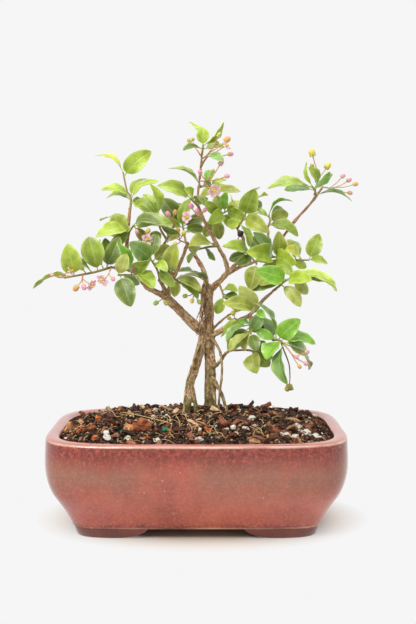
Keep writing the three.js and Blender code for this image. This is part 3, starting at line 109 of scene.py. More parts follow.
# Leafy shoots: the places along a shoot, then its leaves. A leaf is the share of the shoot's length where it
# grows, its sighted tip as across, up, back; width; turn towards the sky in degrees; upward bow as a share of
# its length; tone.
SPRAYS = listed("""
leaf_spray_left_tip: -60.5 180.4 -4; -72.7 176.8 -11; -83.4 174.7 -16; -94.8 172.6 -19 |
    0.84 -117 165 -24 11 55 0.03 light; 0.8 -92 197 -26 13 0 0 light; 0.56 -91 184 -6 6.5 30 0.03 pale;
    0.31 -77 202 -15 14.5 0 0 mid; 0.13 -55 202 -4 10 0 0 dark; 0.18 -69 200 8 10 -50 0 olive;
    0.12 -65 201 4 9.5 25 0 dark; 0.44 -89 186 -24 7.5 40 0.01 blue
leaf_spray_left_low: -41.3 174 5; -49.1 174.7 -4; -56.3 174.7 -12 |
    0.91 -47 152 -20 13 0 0 dark; 0.81 -41 168 -8 5.5 0 0 blue; 1 -50 190 -20 8.5 0 0 pale;
    0.34 -57 198 -14 11 60 -0.09 lime; 0.29 -31 165 -16 13 0 0.03 light; 0.15 -33 188 -8 8 -30 0 mid
leaf_spray_left_crown: -49 209.5 17; -46.7 228.6 21; -49.5 234.3 22; -52.3 247.6 24 |
    1 -72 259 26 9.5 75 0.05 yellow; 0.91 -32 262 20 12 0 0.08 light; 0.51 -68 235 14 9 60 0.03 light;
    0.47 -64 229 30 8 65 0.04 mid; 0.51 -35 243 32 8.5 60 0.08 mid; 0.49 -27 241 16 9.5 65 0.07 light;
    0.42 -28 212 10 10.5 30 0.08 mid; 0.4 -38 228 30 5 35 0 mid
leaf_spray_left_shoulder: -49 203.9 16; -46.8 207.4 10; -44.7 210.2 4 |
    0.51 -63 210 16 14.5 0 0.03 olive; 0.32 -72 202 2 10.5 65 0.02 light;
    0.51 -69 213 22 10.5 70 0.03 light; 0.92 -26 211 -8 9 45 0.09 dark; 0.65 -18 211 12 11 60 0.08 mid;
    0.51 -62 195 10 7.5 30 0.03 mid; 0.92 -36 199 14 6.5 5 0 olive
leaf_spray_left_inner: -26.3 169.7 9; -27.7 176.8 2; -30.6 182.5 -5; -34.1 187.5 -10 |
    0.88 -48 198 -14 12 0 0.03 blue; 0.68 -21 177 -16 6.5 25 0.08 light; 0.46 -16 166 -6 7 0 0.03 mid;
    0.93 -29 204 -6 8.5 0 0 dark; 0.76 -16 178 2 7 25 0.06 dark; 0.81 -19 195 10 9 45 0.03 olive;
    0.88 -46 183 -18 6.5 0 0.03 mid; 0.88 -38 200 6 8 30 0 dark
leaf_spray_left_high: -21.3 199.6 8; -26.2 208.1 6; -27.6 216.6 4 |
    1 -34 240 0 9.5 60 0 light; 0.96 -38 232 10 8 45 0 mid; 0.65 -13 205 -4 7 0 0.03 dark;
    0.31 -36 198 0 7 0 0.03 olive
leaf_spray_crown_left: -12.8 169.7 8; -16.4 172.6 0; -19.2 177.6 -6 |
    0.92 -15 197 -12 12 0 0 olive; 0.36 3 163 -4 8 40 0.03 pale; 0.18 1 158 10 8 40 0.02 mid;
    0.29 -16 159 0 6.5 0 0 olive; 0.66 -26 188 0 8 0 0 dark
leaf_spray_crown_front: 7.9 166.1 17; 6.5 170.4 4; 3.6 172.6 -6 |
    0.34 -13 177 -14 12 45 0.04 dark; 0.48 -16 170 -8 10 60 0.04 pale
leaf_spray_middle_back: -7.8 197.5 37; -9.2 205.3 44; -10.6 212.4 50 |
    0.99 -25 229 52 12 0 0 dark; 0.9 -19 217 58 8.5 0 0.03 light; 0.71 -26 212 42 7 25 0.03 mid;
    0.8 4 215 56 8.5 0 0.03 dark; 0.71 5 207 50 7 0 0.03 dark; 0.52 2 222 62 11 -50 0 olive;
    0.33 -22 198 60 9.5 40 0.03 olive; 0.71 -5 229 46 9 25 0 mid; 0.95 -16 226 40 8 0 0.04 dark
leaf_spray_leader_low: 1.5 223 19; -2 226.5 10; -4.9 229.3 2 |
    0.88 -28 238 -6 10.5 40 0.03 mid; 0.77 -9 236 -10 7 55 0 light; 0.54 31 234 -2 12 60 0.04 olive;
    0.65 8 229 8 5.5 0 0.03 mid; 0.77 5 224 -8 6.5 30 0.03 dark
leaf_spray_leader_middle: 1.9 237.1 16; 5.8 237.8 22; 10 237.8 28 |
    0.13 -20 250 14 10.5 60 0.1 mid; 0.66 9 249 34 6.5 0 0 lime; 0.92 21 242 34 6 55 0.03 light;
    0.32 10 239 6 6 45 0.03 dark
leaf_spray_top: 3.6 259.6 11.5; 4.1 263.1 10; 4.5 266.6 8 |
    0.9 4 279 7 8 0 0 light; 0.9 -6 283 14 8.5 70 -0.02 light; 0.9 19 283 6 9 -70 0 light;
    0.59 -10 263 4 6 60 0.02 dark; 0.59 24 264 20 9 65 -0.03 mid
leaf_spray_top_low: 2.7 251.2 13; 5.1 255.4 7; 7.9 258.9 2 |
    1 19 255 -6 5.5 25 0.08 blue
leaf_spray_middle_front: 15 195.3 19; 7.9 194.6 9; -0.64 192.5 1 |
    0.12 -5 195 -8 12 60 0.05 olive; 0.88 -6 195 -8 5.5 20 0.07 olive; 0.67 13 185 -2 5.5 -50 0.11 dark;
    0.92 -6 183 -6 5.5 60 0 dark
leaf_spray_centre_high: 6.5 210.9 22; 13.6 215.9 26; 21.4 220.1 30 |
    0.91 21 234 24 6.5 25 0 lime; 1 28 224 24 5 0 0 yellow; 0.64 5 227 18 7 0 0.03 light;
    0.96 31 227 36 5.5 30 0.03 pale; 0.49 16 200 24 8 0 0.02 olive; 0.78 13 231 36 6.5 0 0 mid;
    0.82 8 211 10 9 20 0.03 light; 0.96 36 214 18 7.5 25 0.03 light; 0.67 29 209 28 8 0 0.03 mid;
    0.4 6 202 34 6.5 15 0 olive
leaf_spray_centre_low: 15.7 169 16; 17.9 163.3 8; 19.3 158.3 0 |
    0.85 30 156 -10 6.5 40 0.02 dark; 0.92 29 148 -12 7.5 30 0.06 olive; 0.58 29 163 -8 7 55 0.01 mid;
    0.85 14 147 6 7 0 0 mid; 0.64 24 152 4 6.5 0 0 dark
leaf_spray_right_top: 28.5 207.4 4; 32.8 214.5 0; 35.6 220.9 -4 |
    0.7 41 236 -8 12 0 0 mid; 0.64 51 205 -14 10 0 0.03 olive; 0.94 24 232 -12 7 -45 0 light;
    0.96 47 218 -16 6.5 50 0.09 mid; 1 45 237 8 9 60 0.09 dark; 1 50 231 18 11.5 70 0.03 yellow;
    0.43 22 210 8 7 0 0 light; 0.27 37 195 -2 7 0 0 mid; 0.94 46 226 2 5.5 35 0.03 dark
leaf_spray_right_back: 50.5 208.8 32; 51.9 213.1 40; 51.2 217.3 46 |
    0.77 38 220 44 6 45 0.06 mid; 0.63 60 223 50 7 0 0 blue; 1 68 227 40 8 45 0.11 lime;
    0.47 65 218 56 9.5 55 0.06 olive; 0.28 65 208 40 6 15 0.03 olive; 0.12 72 202 30 9 65 0.08 mid
leaf_spray_right_middle: 46.4 186.8 23; 53.5 187.5 13; 62 187.5 5; 70.6 185.4 -2; 79.8 185.4 -6 |
    0.3 40 205 2 10 45 0 blue; 0.27 35 191 -16 12 60 0.03 light; 0.47 58 206 -4 9.5 0 0 olive;
    0.78 64 200 -8 6.5 40 0 pale; 0.85 66 200 8 8 55 -0.07 dark; 0.86 63 193 -20 8.5 55 0.02 yellow;
    1 87 204 -6 10 0 0 mid; 0.98 93 183 4 7 45 0.03 light; 0.34 71 183 -24 12 40 0.03 light;
    0.12 38 202 28 9.5 0 0 dark; 0.66 78 180 0 5.5 0 0 light; 0.58 47 180 6 7 25 0.02 olive
leaf_spray_right_inner: 33.5 192.5 8; 38.5 187.5 -2; 42.8 182.5 -9 |
    0.63 28 182 -14 6.5 5 0.03 dark; 0.96 38 164 -14 11.5 0 0 olive; 0.63 18 195 -14 10 55 0.03 mid;
    0.8 51 184 -18 6 35 0.07 mid; 0.24 23 185 4 6.5 0 0.02 dark
leaf_spray_right_tip: 57.9 166.1 -13; 62.8 170.4 -20; 69.2 172.6 -25; 77.8 171.9 -28 |
    0.44 42 178 -30 11.5 0 0.03 lime; 0.61 99 168 -34 12 60 0.04 light; 0.95 100 163 -22 10 60 0.06 light;
    0.42 82 171 -40 9.5 25 0.03 light; 0.14 74 152 -22 8.5 20 0.04 pale; 0.39 44 168 -16 7.5 35 0.03 olive;
    0.72 59 183 -14 7 0 0.03 mid; 0.28 39 164 -14 9 30 0.03 dark; 0.63 79 161 -26 7 0 0.02 pale
leaf_spray_right_under: 46.5 155.4 -3; 43.6 151.1 -12; 41.5 148.3 -18 |
    0.71 30 167 -22 10.5 0 0 pale; 0.89 18 154 -22 9.5 50 0.06 olive; 0.78 49 144 -24 5 0 0 lime
leaf_spray_right_tall: 84.5 230 45; 83.8 234.3 40; 81.6 237.8 34 |
    0.77 50 236 26 12 65 -0.02 mid; 0.52 62 235 44 8.5 45 0.01 blue; 0.88 78 255 36 7.5 -70 0 light;
    0.67 79 251 26 8 55 0.08 mid; 0.12 110 227 38 10.5 45 0.03 blue; 0.67 94 248 30 7 -50 0 lime
leaf_spray_lower_right: 54.5 128.1 -10; 58.8 128.1 -18; 62.4 125.3 -25 |
    0.26 41 155 -20 12 60 0.04 blue; 0.44 74 143 -26 12 0 0.04 lime; 0.64 85 125 -26 10 45 0.1 lime;
    0.9 77 120 -12 8.5 40 0.04 blue; 1 80 107 -6 12 40 0 pale; 0.94 65 96 -38 12 -55 0 blue;
    0.63 50 114 -30 13 0 0 lime; 0.18 44 145 0 9 45 0 blue; 0.26 42 135 -12 6.5 0 0.02 lime
leaf_spray_lower_middle: 37.9 144.7 3; 38 138.2 -6; 38.7 132.5 -13 |
    0.94 43 120 -22 8 0 0 dark; 0.89 47 148 -18 8 0 0 blue; 0.66 34 120 -18 9.5 0 0 pale;
    0.49 21 127 -8 8 60 0.03 blue; 0.61 22 121 4 10 40 0 mid; 0.31 44 134 -12 5 -15 0 yellow;
    0.18 50 132 0 6 55 0.07 dark; 0.43 30 141 -12 4.5 20 0 lime; 0.37 17 130 2 9 30 0.01 mid;
    0.94 23 120 -12 8 25 0.02 pale
leaf_spray_lowest_right: 37.3 120.9 2; 39.4 120.2 -6; 40.9 118.8 -12 |
    0.79 43 104 -20 11.5 0 0 olive; 0.79 52 109 -10 10 0 0.03 mid; 0.57 49 127 -12 7 0 0 dark;
    0.4 54 115 4 8 0 0.03 mid
""")

# Flower stalks: the places along a stalk, then what it carries as across, up, back; size; kind; tint
CLUSTERS = listed("""
flower_cluster_top: 3.2 256.8 12; 6.5 258.9 7; 10 263.1 2 |
    15.7 273.6 2 3.9 bud olive; 14.3 268 8 2.9 bud olive; 21.3 270.4 0 5 bud orange;
    19.9 265.9 -2 4.3 bloom pink; 23.8 260.3 6 3.9 bud pink
bud_stalk_top_left: 3.4 258.2 12; 0.12 263.1 17; -3.4 267.3 20 |
    -5.2 269.4 20 3.6 bud olive; -2.7 270.8 24 2.9 bud olive
flower_cluster_leader: 1.9 241.3 15; 5.1 241.3 8; 8.6 242 2 |
    17.1 254 0 4.3 bud pink; 11.4 248.3 -4 3.2 bud olive; 2.2 247.6 -2 3.6 bud pink;
    21.4 244.8 -4 3.9 bud pink; 11.8 235 -6 6.4 bloom pink
flower_cluster_centre: 5.1 213.8 22; 2.2 215.9 12; 0.09 217.3 6 |
    -4.2 223.7 0 4.3 bud pink; 0.09 220.1 -4 4.3 bud pink; 5.8 220.9 2 3.6 bud pink;
    -6.3 215.9 2 5.7 bloom pink
flower_cluster_left_high: -15.6 210.9 10; -18.4 214.5 4 |
    -20.5 218 0 4.3 bud pink; -15.5 219.4 2 3.6 bud orange
flower_cluster_riser: -7 197.5 20; -11.3 198.9 12; -13.4 200.3 6 |
    -17.7 202.4 4 3.6 bud yellow; -9.2 204.6 0 3.9 bud yellow; -13.4 206.7 2 3.6 bud orange;
    -15.6 196.8 -2 3.6 bud yellow
flower_cluster_left_shoulder: -49.7 195.3 12; -44 197.5 4; -40.5 199.6 -2 |
    -42.6 205.3 -6 3.6 bud pink; -34.8 206 -4 3.9 bud yellow; -36.2 199.6 -10 5.7 bloom pink
bloom_left_twig: -61.2 180.4 -4; -62 177.6 -12; -63.4 174.7 -17 |
    -66.3 171.9 -20 6.4 bloom pink; -59.9 171.9 -20 3.6 bud pink
bud_pair_left_tip: -81.2 175.4 -15; -82 171.1 -20 |
    -86.3 165.4 -22 4.6 bud orange; -80.6 166.1 -24 4.3 bud pink; -76.3 168.3 -22 5.7 bloom pink
bud_stalk_left_end: -92.7 173.3 -18; -97.7 172.9 -22; -101.2 174 -24 |
    -103.3 174.7 -24 2.6 bud pink; -91.2 177.2 -25 4.3 bloom pink
flower_cluster_right_tall: 83.1 231.4 45; 85.1 239.2 38; 86.5 245.5 36 |
    81.4 261 34 5.7 bud yellow; 92.5 251.9 38 5.4 bud yellow; 94.3 245.5 32 3.6 bud green;
    81.5 251.9 32 3.6 bud olive
flower_cluster_right_end: 88.7 237.1 46; 94.4 236.4 50; 98.6 237.1 52 |
    107.8 242 54 3.9 bud pink; 112.4 239.2 50 3.9 bud orange; 108.6 232.9 56 3.9 bud pink;
    103.5 244.8 48 3.6 bud pink
flower_cluster_lower_right: 62.4 125 -25.2; 65.2 121.7 -30; 68.9 116.6 -36 |
    78.9 119.5 -38 3.3 bud pink; 73.6 109 -40 3 bud orange; 78.2 111.2 -42 3.4 bud pink;
    71.4 115.9 -42 3.3 bud pink
dried_head_lower_right: 60.2 126.8 -20.8; 61.6 122.4 -19.5; 66 110.8 -19; 66.8 100.7 -20 |
    66.1 93.5 -20 6.4 pod olive
bud_pair_left_limb: -24.2 161.1 10; -25 157.6 0 |
    -29.3 154.7 -4 3.9 bud green; -22.1 154.7 -2 3.9 bud olive
flower_cluster_crown: 2.2 161.9 16; -2.8 161.1 8 |
    -8.5 159.7 4 3.6 bud olive; -3.5 156.1 2 3.6 bud yellow; 1.5 155.4 4 3.6 bud green
dried_pods_right: 32.8 199.6 7; 27.8 198.9 0 |
    27.8 197.5 -4 5 pod dark; 30.7 203.9 -2 5.4 pod dark
bud_right_limb: 29.4 141.8 8; 27.2 143.9 0 |
    25.8 147.5 -4 3.9 bud yellow; 22.9 143.9 -4 3.2 bud olive
""")

# Larger bits on the soil: across, up; size; tilt in degrees; colour
SOIL_BITS = listed("""
stone: -67 76.1 3.6 0 white; -81.4 74.6 2.9 0 white; -49 74.6 2.9 0 cream; -30.2 76.8 4.4 0 white;
    -31.7 72.4 3.6 0 white; -36 68.8 3.6 0 cream; -45.4 62.3 2.9 0 white; -58.4 57.9 4.4 0 white;
    -64.9 56.4 5.8 0 white; -49.8 55.7 5.1 0 white; -28.9 55 5.1 0 white; 0.69 62.3 4.4 0 cream;
    2.1 55.7 5.1 0 white; 32.4 76.1 4.4 0 white; 39.6 70.3 6.6 0 white; 41.8 65.2 3.6 0 cream;
    34.6 63.7 4.4 0 white; 20.9 63 2.9 0 white; 28.1 59.3 4.4 0 cream; 61.9 76.1 3.6 0 white;
    69.8 69.5 2.2 0 white; 72 64.4 7.3 0 white; 78.6 60.1 7.3 0 white; 62.7 58.6 5.8 0 white;
    69.9 57.2 5.1 0 white; 84.2 72.4 5.8 0 white; 85.8 57.2 6.6 0 white
clay: -71.3 69.5 5.8 0 clay; -61.3 65.2 2.2 0 clay; -49.8 61.5 8 0 pale_clay; -91.6 62.3 8.8 0 pale_clay;
    -85.1 60.8 4.4 0 clay; -55.4 76.8 3.6 0 clay; 4.3 66.6 2.9 0 clay; 20.1 65.9 4.4 0 clay;
    3.6 72.4 2.2 0 clay; 7.9 61.5 5.8 0 clay; 50.4 60.8 2.9 0 clay; 51.2 57.2 2.9 0 pale_clay;
    35.3 65.9 3.6 0 clay; 32.4 71.7 3.6 0 clay; -8.7 57.9 2.9 0 pale_clay; -73.6 55.7 5.8 0 clay;
    82.1 68.1 2.2 0 clay
bark: -39.7 63.7 12.4 -12 bark; -30.2 80.4 6.6 10 dark_bark; 27.3 80.4 6.6 20 bark;
    38.1 81.2 8.8 35 dark_bark; 56.2 60.1 7.3 -8 bark; 64.9 60.1 5.8 12 bark; -12.3 76.1 5.8 -15 bark;
    -75.7 63 6.6 8 bark; 13.7 75.4 5.8 15 dark_bark; 46.8 72.4 6.6 -10 bark; 74.1 74.6 5.8 5 dark_bark;
    -78.6 67.4 5.1 -20 dark_bark
pellet: -23.1 62.3 4 0 green; -54.8 60.8 2.5 0 green
""")

# Fine roots on the soil: [radius, then places as (across, up)]
SEEN_ROOTLETS = [
    [0.32, (-53.3, 73.9), (-43.2, 71.7), (-33.9, 70.3), (-23.1, 67.4), (-18, 65.2)],
    [0.24, (-61.2, 75.4), (-57.6, 70.3), (-51.1, 73.2), (-47.6, 67.4)],
    [0.22, (-62.7, 67.4), (-56.9, 73.2), (-50.4, 69.5), (-52.6, 64.4)],
    [0.22, (-20.9, 71.7), (-18, 65.9), (-19.5, 60.1), (-16.6, 55.7)],
    [0.22, (-15.1, 71.7), (-12.3, 65.2), (-13, 59.3), (-9.4, 55.7)],
    [0.22, (-8.7, 72.4), (-6.5, 66.6), (-3.6, 62.3), (-5.1, 57.2)],
    [0.2, (38.2, 63.7), (42.5, 60.8), (45.4, 63), (47.6, 57.9)],
    [0.2, (40.4, 57.2), (43.2, 62.3), (46.8, 60.1)],
    [0.2, (5.7, 62.3), (9.3, 57.9), (13.7, 60.8)],
    [0.2, (8.6, 57.2), (11.5, 63), (15.1, 58.6)],
]

# Pot sizes, in millimetres
POT_HALF = 104
DEPTH_LESS = 26
ROUND_WITHIN = 60
RIM_HEIGHT = 67
LIP_WIDTH = 9
LIP_RISE = 2.6
FLOOR_UNDER = 7
FLOOR_TOP = 15
FOOT_EDGE = 21
FOOT_WIDTH = 10
SQUARENESS = {"foot": 8, "rim": 4.6}
POT_STEPS = 176
FRONT_GAP = {"low": 57, "high": 32}
SIDE_GAP = {"low": 34, "high": 19}
DRAIN_OFFSET = 45
DRAIN_RADIUS = 7

# Soil sizes, in millimetres
SOIL_EDGE = 63
SOIL_RISE = 13.5
GAP = 0.3
INNER_RIM = POT_HALF - LIP_WIDTH
SOIL_RADIUS = INNER_RIM - GAP

# Leaf and flower sizes, in millimetres
CAD_LEAF_THICKNESS = 0.7
LEAF_THICKNESS = 0.34
PETIOLE_WIDTH = 1.1
SHOOT_RADII = (0.95, 0.6)
STALK_RADII = (0.62, 0.42)
PEDICEL_RADIUS = 0.36
PEDICEL_STEP = 0.14
PETAL_THICKNESS = 0.22
BUD_SCALE = 0.86
BLOOM_SCALE = 1.15

# Leaf tones
TONES = {
    "light": "#B4CC40",
    "lime": "#8FCA3A",
    "pale": "#C2C966",
    "mid": "#9CB338",
    "dark": "#6A8024",
    "olive": "#A6AF40",
    # Partly painted reflection: the bluish tone is a leaf's own green with a painted sky sheen mixed in
    "blue": "#88AF5A",
    "yellow": "#CACF40",
}

# Flower tints
TINTS = {
    "pink": "#E08BA6",
    "orange": "#CF9257",
    "olive": "#A9A24C",
    "yellow": "#D2BC48",
    "green": "#93B04A",
    "dark": "#3B2C20",
}


def rgb(code):
    """A screen colour such as #A0B0C0 as the linear numbers that a shader takes."""
    channels = [int(code[i : i + 2], 16) / 255 for i in (1, 3, 5)]
    return (*[c / 12.92 if c <= 0.04045 else ((c + 0.055) / 1.055) ** 2.4 for c in channels], 1.0)


def in_frame(spot):
    """A place in the frame, from millimetres round the pot's middle."""
    return Vector(spot) * MM + POT_MIDDLE


def place(across, up, back):
    """A place on a sight line: where the line crosses the pot's middle plane, then how far behind it."""
    seen = in_frame((across, 0, up))
    return EYE + (seen - EYE) * (1 + back * MM / (POT_MIDDLE.y - EYE.y))


def seeded_draw(seed):
    """A repeatable draw of numbers from 0 to 1."""
    state = 7919 * (seed + 1)
    while True:
        state = state * 16807 % 2147483647
        yield state / 2147483647


def smooth_path(points, steps):
    """Points along a Catmull-Rom curve through the given ones, and each one's share between neighbours."""
    ends = [2 * points[0] - points[1], *points, 2 * points[-1] - points[-2]]
    path = []
    for i in range(len(points) - 1):
        before, start, end, after = ends[i : i + 4]
        leave = (end - before) / 2
        arrive = (after - start) / 2
        for step in range(steps + (i == len(points) - 2)):
            t = step / steps
            bend = (3 * (end - start) - 2 * leave - arrive) * t**2
            path.append((start + leave * t + bend + (2 * (start - end) + leave + arrive) * t**3, i + t))
    return path


def point_on_path(points, share):
    """A point on straight stretches, at a share of their length."""
    lengths = [(b - a).length for a, b in zip(points, points[1:])]
    left = share * sum(lengths)
    for start, end, length in zip(points, points[1:], lengths):
        if left <= length or end is points[-1]:
            return start.lerp(end, min(1, left / length))
        left -= length


# Objects and meshes
def object_of(name, mesh):
    made = bpy.data.objects.new(name, mesh)
    bpy.context.scene.collection.objects.link(made)
    return made


def mesh_from(name, bm):
    mesh = bpy.data.meshes.new(name)
    bm.to_mesh(mesh)
    bm.free()
    return mesh


def object_from(name, bm):
    return object_of(name, mesh_from(name, bm))


def applied(piece):
    """The piece with its modifiers applied, or a curve turned into its mesh."""
    evaluated = piece.evaluated_get(bpy.context.evaluated_depsgraph_get())
    mesh = bpy.data.meshes.new_from_object(evaluated)
    name = piece.name
    bpy.data.objects.remove(piece)
    return object_of(name, mesh)


def thickened(piece, thickness):
    """A sheet given its thickness in millimetres, half to each side."""
    thicken = piece.modifiers.new("thickness", "SOLIDIFY")
    thicken.thickness = thickness * MM
    thicken.offset = 0
    return applied(piece)


def joined(name, pieces):
    with bpy.context.temp_override(active_object=pieces[0], selected_editable_objects=pieces):
        bpy.ops.object.join()
    pieces[0].name = name
    return pieces[0]


def tinted(piece, colours):
    """Writes a mesh's tint attribute, with one colour or one for each point."""
    attribute = piece.data.attributes.new("tint", "FLOAT_COLOR", "POINT")
    attribute.data.foreach_set("color", np.resize(colours, 4 * len(piece.data.vertices)))
    return piece


def tubes(name, paths, sides=6):
    """Round tubes with closed ends, each path a list of (place, radius)."""
    curve = bpy.data.curves.new(name, "CURVE")
    curve.dimensions = "3D"
    curve.bevel_depth = 1
    curve.bevel_resolution = max(0, (sides - 4) // 2)
    curve.use_fill_caps = True
    for path in paths:
        spline = curve.splines.new("POLY")
        spline.points.add(len(path) - 1)
        for point, (centre, radius) in zip(spline.points, path):
            point.co = (*centre, 1)
            point.radius = radius
    return applied(object_of(name, curve))


def smooth(piece, angle=60):
    piece.data.shade_smooth()
    piece.data.set_sharp_from_angle(angle=math.radians(angle))
    return piece


def paint(piece, material):
    piece.data.materials.clear()
    piece.data.materials.append(material)


def dress(piece, nodes, material=None):
    """Gives a piece its material and its place on the body, and hides the nodes that it stands for."""
    if material:
        paint(piece, material)
    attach(piece, "root")
    if nodes:
        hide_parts(*nodes)


# Materials
def new_material(name, roughness, **settings):
    material = bpy.data.materials.new(name)
    material.use_nodes = True
    shader = material.node_tree.nodes["Principled BSDF"]
    shader.inputs["Roughness"].default_value = roughness
    for key, value in settings.items():
        shader.inputs[key.replace("_", " ")].default_value = value
    return material, material.node_tree, shader


def feed(tree, socket, value):
    """Links another node's output into a socket, or writes a plain value there."""
    if isinstance(value, bpy.types.NodeSocket):
        tree.links.new(value, socket)
    else:
        socket.default_value = value


def add_node(tree, kind, props=None, **inputs):
    """A shader node with its settings and what goes into its sockets."""
    made = tree.nodes.new(kind)
    for name, value in (props or {}).items():
        setattr(made, name, value)
    for name, value in inputs.items():
        feed(tree, made.inputs[name.replace("_", " ")], value)
    return made


def stretched(tree, vector, scale):
    return add_node(tree, "ShaderNodeMapping", Vector=vector, Scale=scale).outputs["Vector"]


def place_on(tree, scale=(1, 1, 1)):
    return stretched(tree, add_node(tree, "ShaderNodeTexCoord").outputs["Object"], scale)


def height_of(tree, place):
    return add_node(tree, "ShaderNodeSeparateXYZ", Vector=place).outputs["Z"]


def noise_at(tree, vector, scale, detail=3.0, roughness=0.5, distortion=0.0):
    shape = {"Scale": scale, "Detail": detail, "Roughness": roughness, "Distortion": distortion}
    return add_node(tree, "ShaderNodeTexNoise", Vector=vector, **shape).outputs["Fac"]


def ramp(tree, factor, *stops):
    """A colour ramp; each stop is (position, colour)."""
    made = add_node(tree, "ShaderNodeValToRGB", Fac=factor)
    elements = made.color_ramp.elements
    while len(elements) < len(stops):
        elements.new(0.5)
    for element, (position, colour) in zip(elements, stops):
        element.position = position
        element.color = rgb(colour)
    return made.outputs["Color"]


def mixed(tree, factor, a, b, blend="MIX"):
    made = add_node(tree, "ShaderNodeMix", {"data_type": "RGBA", "blend_type": blend})
    for index, value in ((0, factor), (6, a), (7, b)):
        feed(tree, made.inputs[index], rgb(value) if isinstance(value, str) else value)
    return made.outputs[2]


def maths(tree, operation, a, b=0.0):
    made = add_node(tree, "ShaderNodeMath", {"operation": operation})
    for socket, value in zip(made.inputs, (a, b)):
        feed(tree, socket, value)
    return made.outputs["Value"]


def spread(tree, value, low, high, out_low=0.0, out_high=1.0):
    """Value from low to high turned into out_low to out_high, held at the ends."""
    ends = {"From_Min": low, "From_Max": high, "To_Min": out_low, "To_Max": out_high}
    return add_node(tree, "ShaderNodeMapRange", Value=value, **ends).outputs["Result"]


def times(tree, a, b):
    return maths(tree, "MULTIPLY", a, b)


def between(tree, value, start, full, fade, end):
    """1 from full to fade, falling to nothing at start and at end."""
    return times(tree, spread(tree, value, start, full), spread(tree, value, end, fade))


def layered(tree, colour, *layers):
    """Colour with others laid over it; each layer is (colour, most, value, low, high), none of it at low."""
    for over, most, value, low, high in layers:
        colour = mixed(tree, spread(tree, value, low, high, 0, most), colour, over)
    return colour


def bumped(tree, shader, *reliefs):
    """Relief laid over relief, each (height, distance in metres, strength)."""
    normal = None
    for height, distance, strength in reliefs:
        before = {"Normal": normal} if normal else {}
        made = add_node(tree, "ShaderNodeBump", Height=height, Distance=distance, Strength=strength, **before)
        normal = made.outputs["Normal"]
    feed(tree, shader.inputs["Normal"], normal)


def attribute(tree, name, output="Color"):
    return add_node(tree, "ShaderNodeAttribute", {"attribute_name": name}).outputs[output]


def glaze_material():
    """Reddish-brown stoneware glaze: oxblood under the rim, mottled below, paler on the lip's top and along
    the ledge above the feet, with painted shade over the feet and a painted highlight along the lip's outer
    edge.
    """
    material, tree, shader = new_material("glaze", 0.16, Coat_Weight=0.5, Coat_Roughness=0.06)
    at = place_on(tree)
    height = height_of(tree, at)
    cloud = noise_at(tree, at, 16, 4)
    clouds = noise_at(tree, place_on(tree, (1, 1, 0.6)), 30, 5, 0.62)
    fine = noise_at(tree, at, 480, 3, 0.75)
    streaks = noise_at(tree, place_on(tree, (1, 1, 0.3)), 75, 3, 0.55)
    folds = noise_at(tree, place_on(tree, (1, 1, 2.2)), 26, 2, 0.4, 0.8)
    body = ramp(tree, clouds, (0.32, "#984030"), (0.5, "#B9553F"), (0.66, "#CA694D"))
    veil = times(tree, spread(tree, cloud, 0.42, 0.6), spread(tree, height, 0.022, 0.044))
    body = mixed(tree, times(tree, veil, 0.85), body, "#8C5D48")
    shifted = maths(tree, "ADD", height, spread(tree, streaks, 0.3, 0.7, -0.002, 0.002))
    shifted = maths(tree, "ADD", shifted, spread(tree, fine, 0.3, 0.7, -0.0025, 0.0025))
    oxblood = ramp(tree, fine, (0.36, "#561610"), (0.52, "#8A2F20"), (0.72, "#B45742"))
    # Painted shade: the feet are the body's red-brown, darkened here for the shade that falls on them
    painted_foot_shade = ramp(tree, clouds, (0.35, "#5A251B"), (0.65, "#80392B"))
    body = layered(
        tree,
        body,
        ("#9C3B26", 0.55, height, 0.026, 0.011),
        ("#C97A60", 0.5, fine, 0.46, 0.72),
        (oxblood, 0.92, shifted, 0.047, 0.059),
        (painted_foot_shade, 1.0, shifted, 0.0105, 0.0065),
    )
    ledge = between(tree, height, 0.0068, 0.0074, 0.0078, 0.0086)
    body = mixed(tree, times(tree, ledge, spread(tree, cloud, 0.42, 0.6, 0.1, 0.7)), body, "#C99B82")
    body = layered(tree, body, ("#B0604F", 1.0, height, 0.0655, 0.0663))
    # Painted highlight: a pale cream line along the lip's outer edge
    edge = between(tree, height, 0.0648, 0.0653, 0.0659, 0.0665)
    body = mixed(tree, times(tree, edge, spread(tree, clouds, 0.35, 0.6, 0.15, 0.8)), body, "#E0BFA8")
    specks = add_node(tree, "ShaderNodeTexVoronoi", Vector=at, Scale=120.0).outputs["Distance"]
    body = layered(tree, body, ("#E9C2B4", 1.0, specks, 0.05, 0.03))
    feed(tree, shader.inputs["Base Color"], body)
    feed(tree, shader.inputs["Roughness"], spread(tree, fine, 0.3, 0.7, 0.1, 0.26))
    broad = noise_at(tree, at, 45, 3)
    bumped(tree, shader, (broad, 0.0009, 0.6), (folds, 0.0012, 0.35), (fine, 0.00014, 0.6))
    return material


def soil_material():
    material, tree, shader = new_material("damp_soil", 0.95)
    at = place_on(tree)
    tone = noise_at(tree, at, 420, 5, 0.7)
    colour = ramp(tree, tone, (0.34, "#1B130D"), (0.5, "#36261A"), (0.62, "#573C28"), (0.72, "#7A583C"))
    feed(tree, shader.inputs["Base Color"], colour)
    bumped(tree, shader, (noise_at(tree, at, 700, 5, 0.75), 0.0009, 1.0))
    return material


def crumb_material(name, roughness, scale, contrast, specular=0.3):
    """Loose bits: each copy's own tint, made uneven by fine noise."""
    material, tree, shader = new_material(name, roughness, Specular_IOR_Level=specular)
    grain = noise_at(tree, place_on(tree), scale, 4, 0.65)
    tint = attribute(tree, "tint")
    dark = mixed(tree, 1.0, tint, (contrast, contrast, contrast, 1), "MULTIPLY")
    feed(tree, shader.inputs["Base Color"], layered(tree, dark, (tint, 1.0, grain, 0.35, 0.62)))
    bumped(tree, shader, (grain, 0.0004, 0.9))
    return material


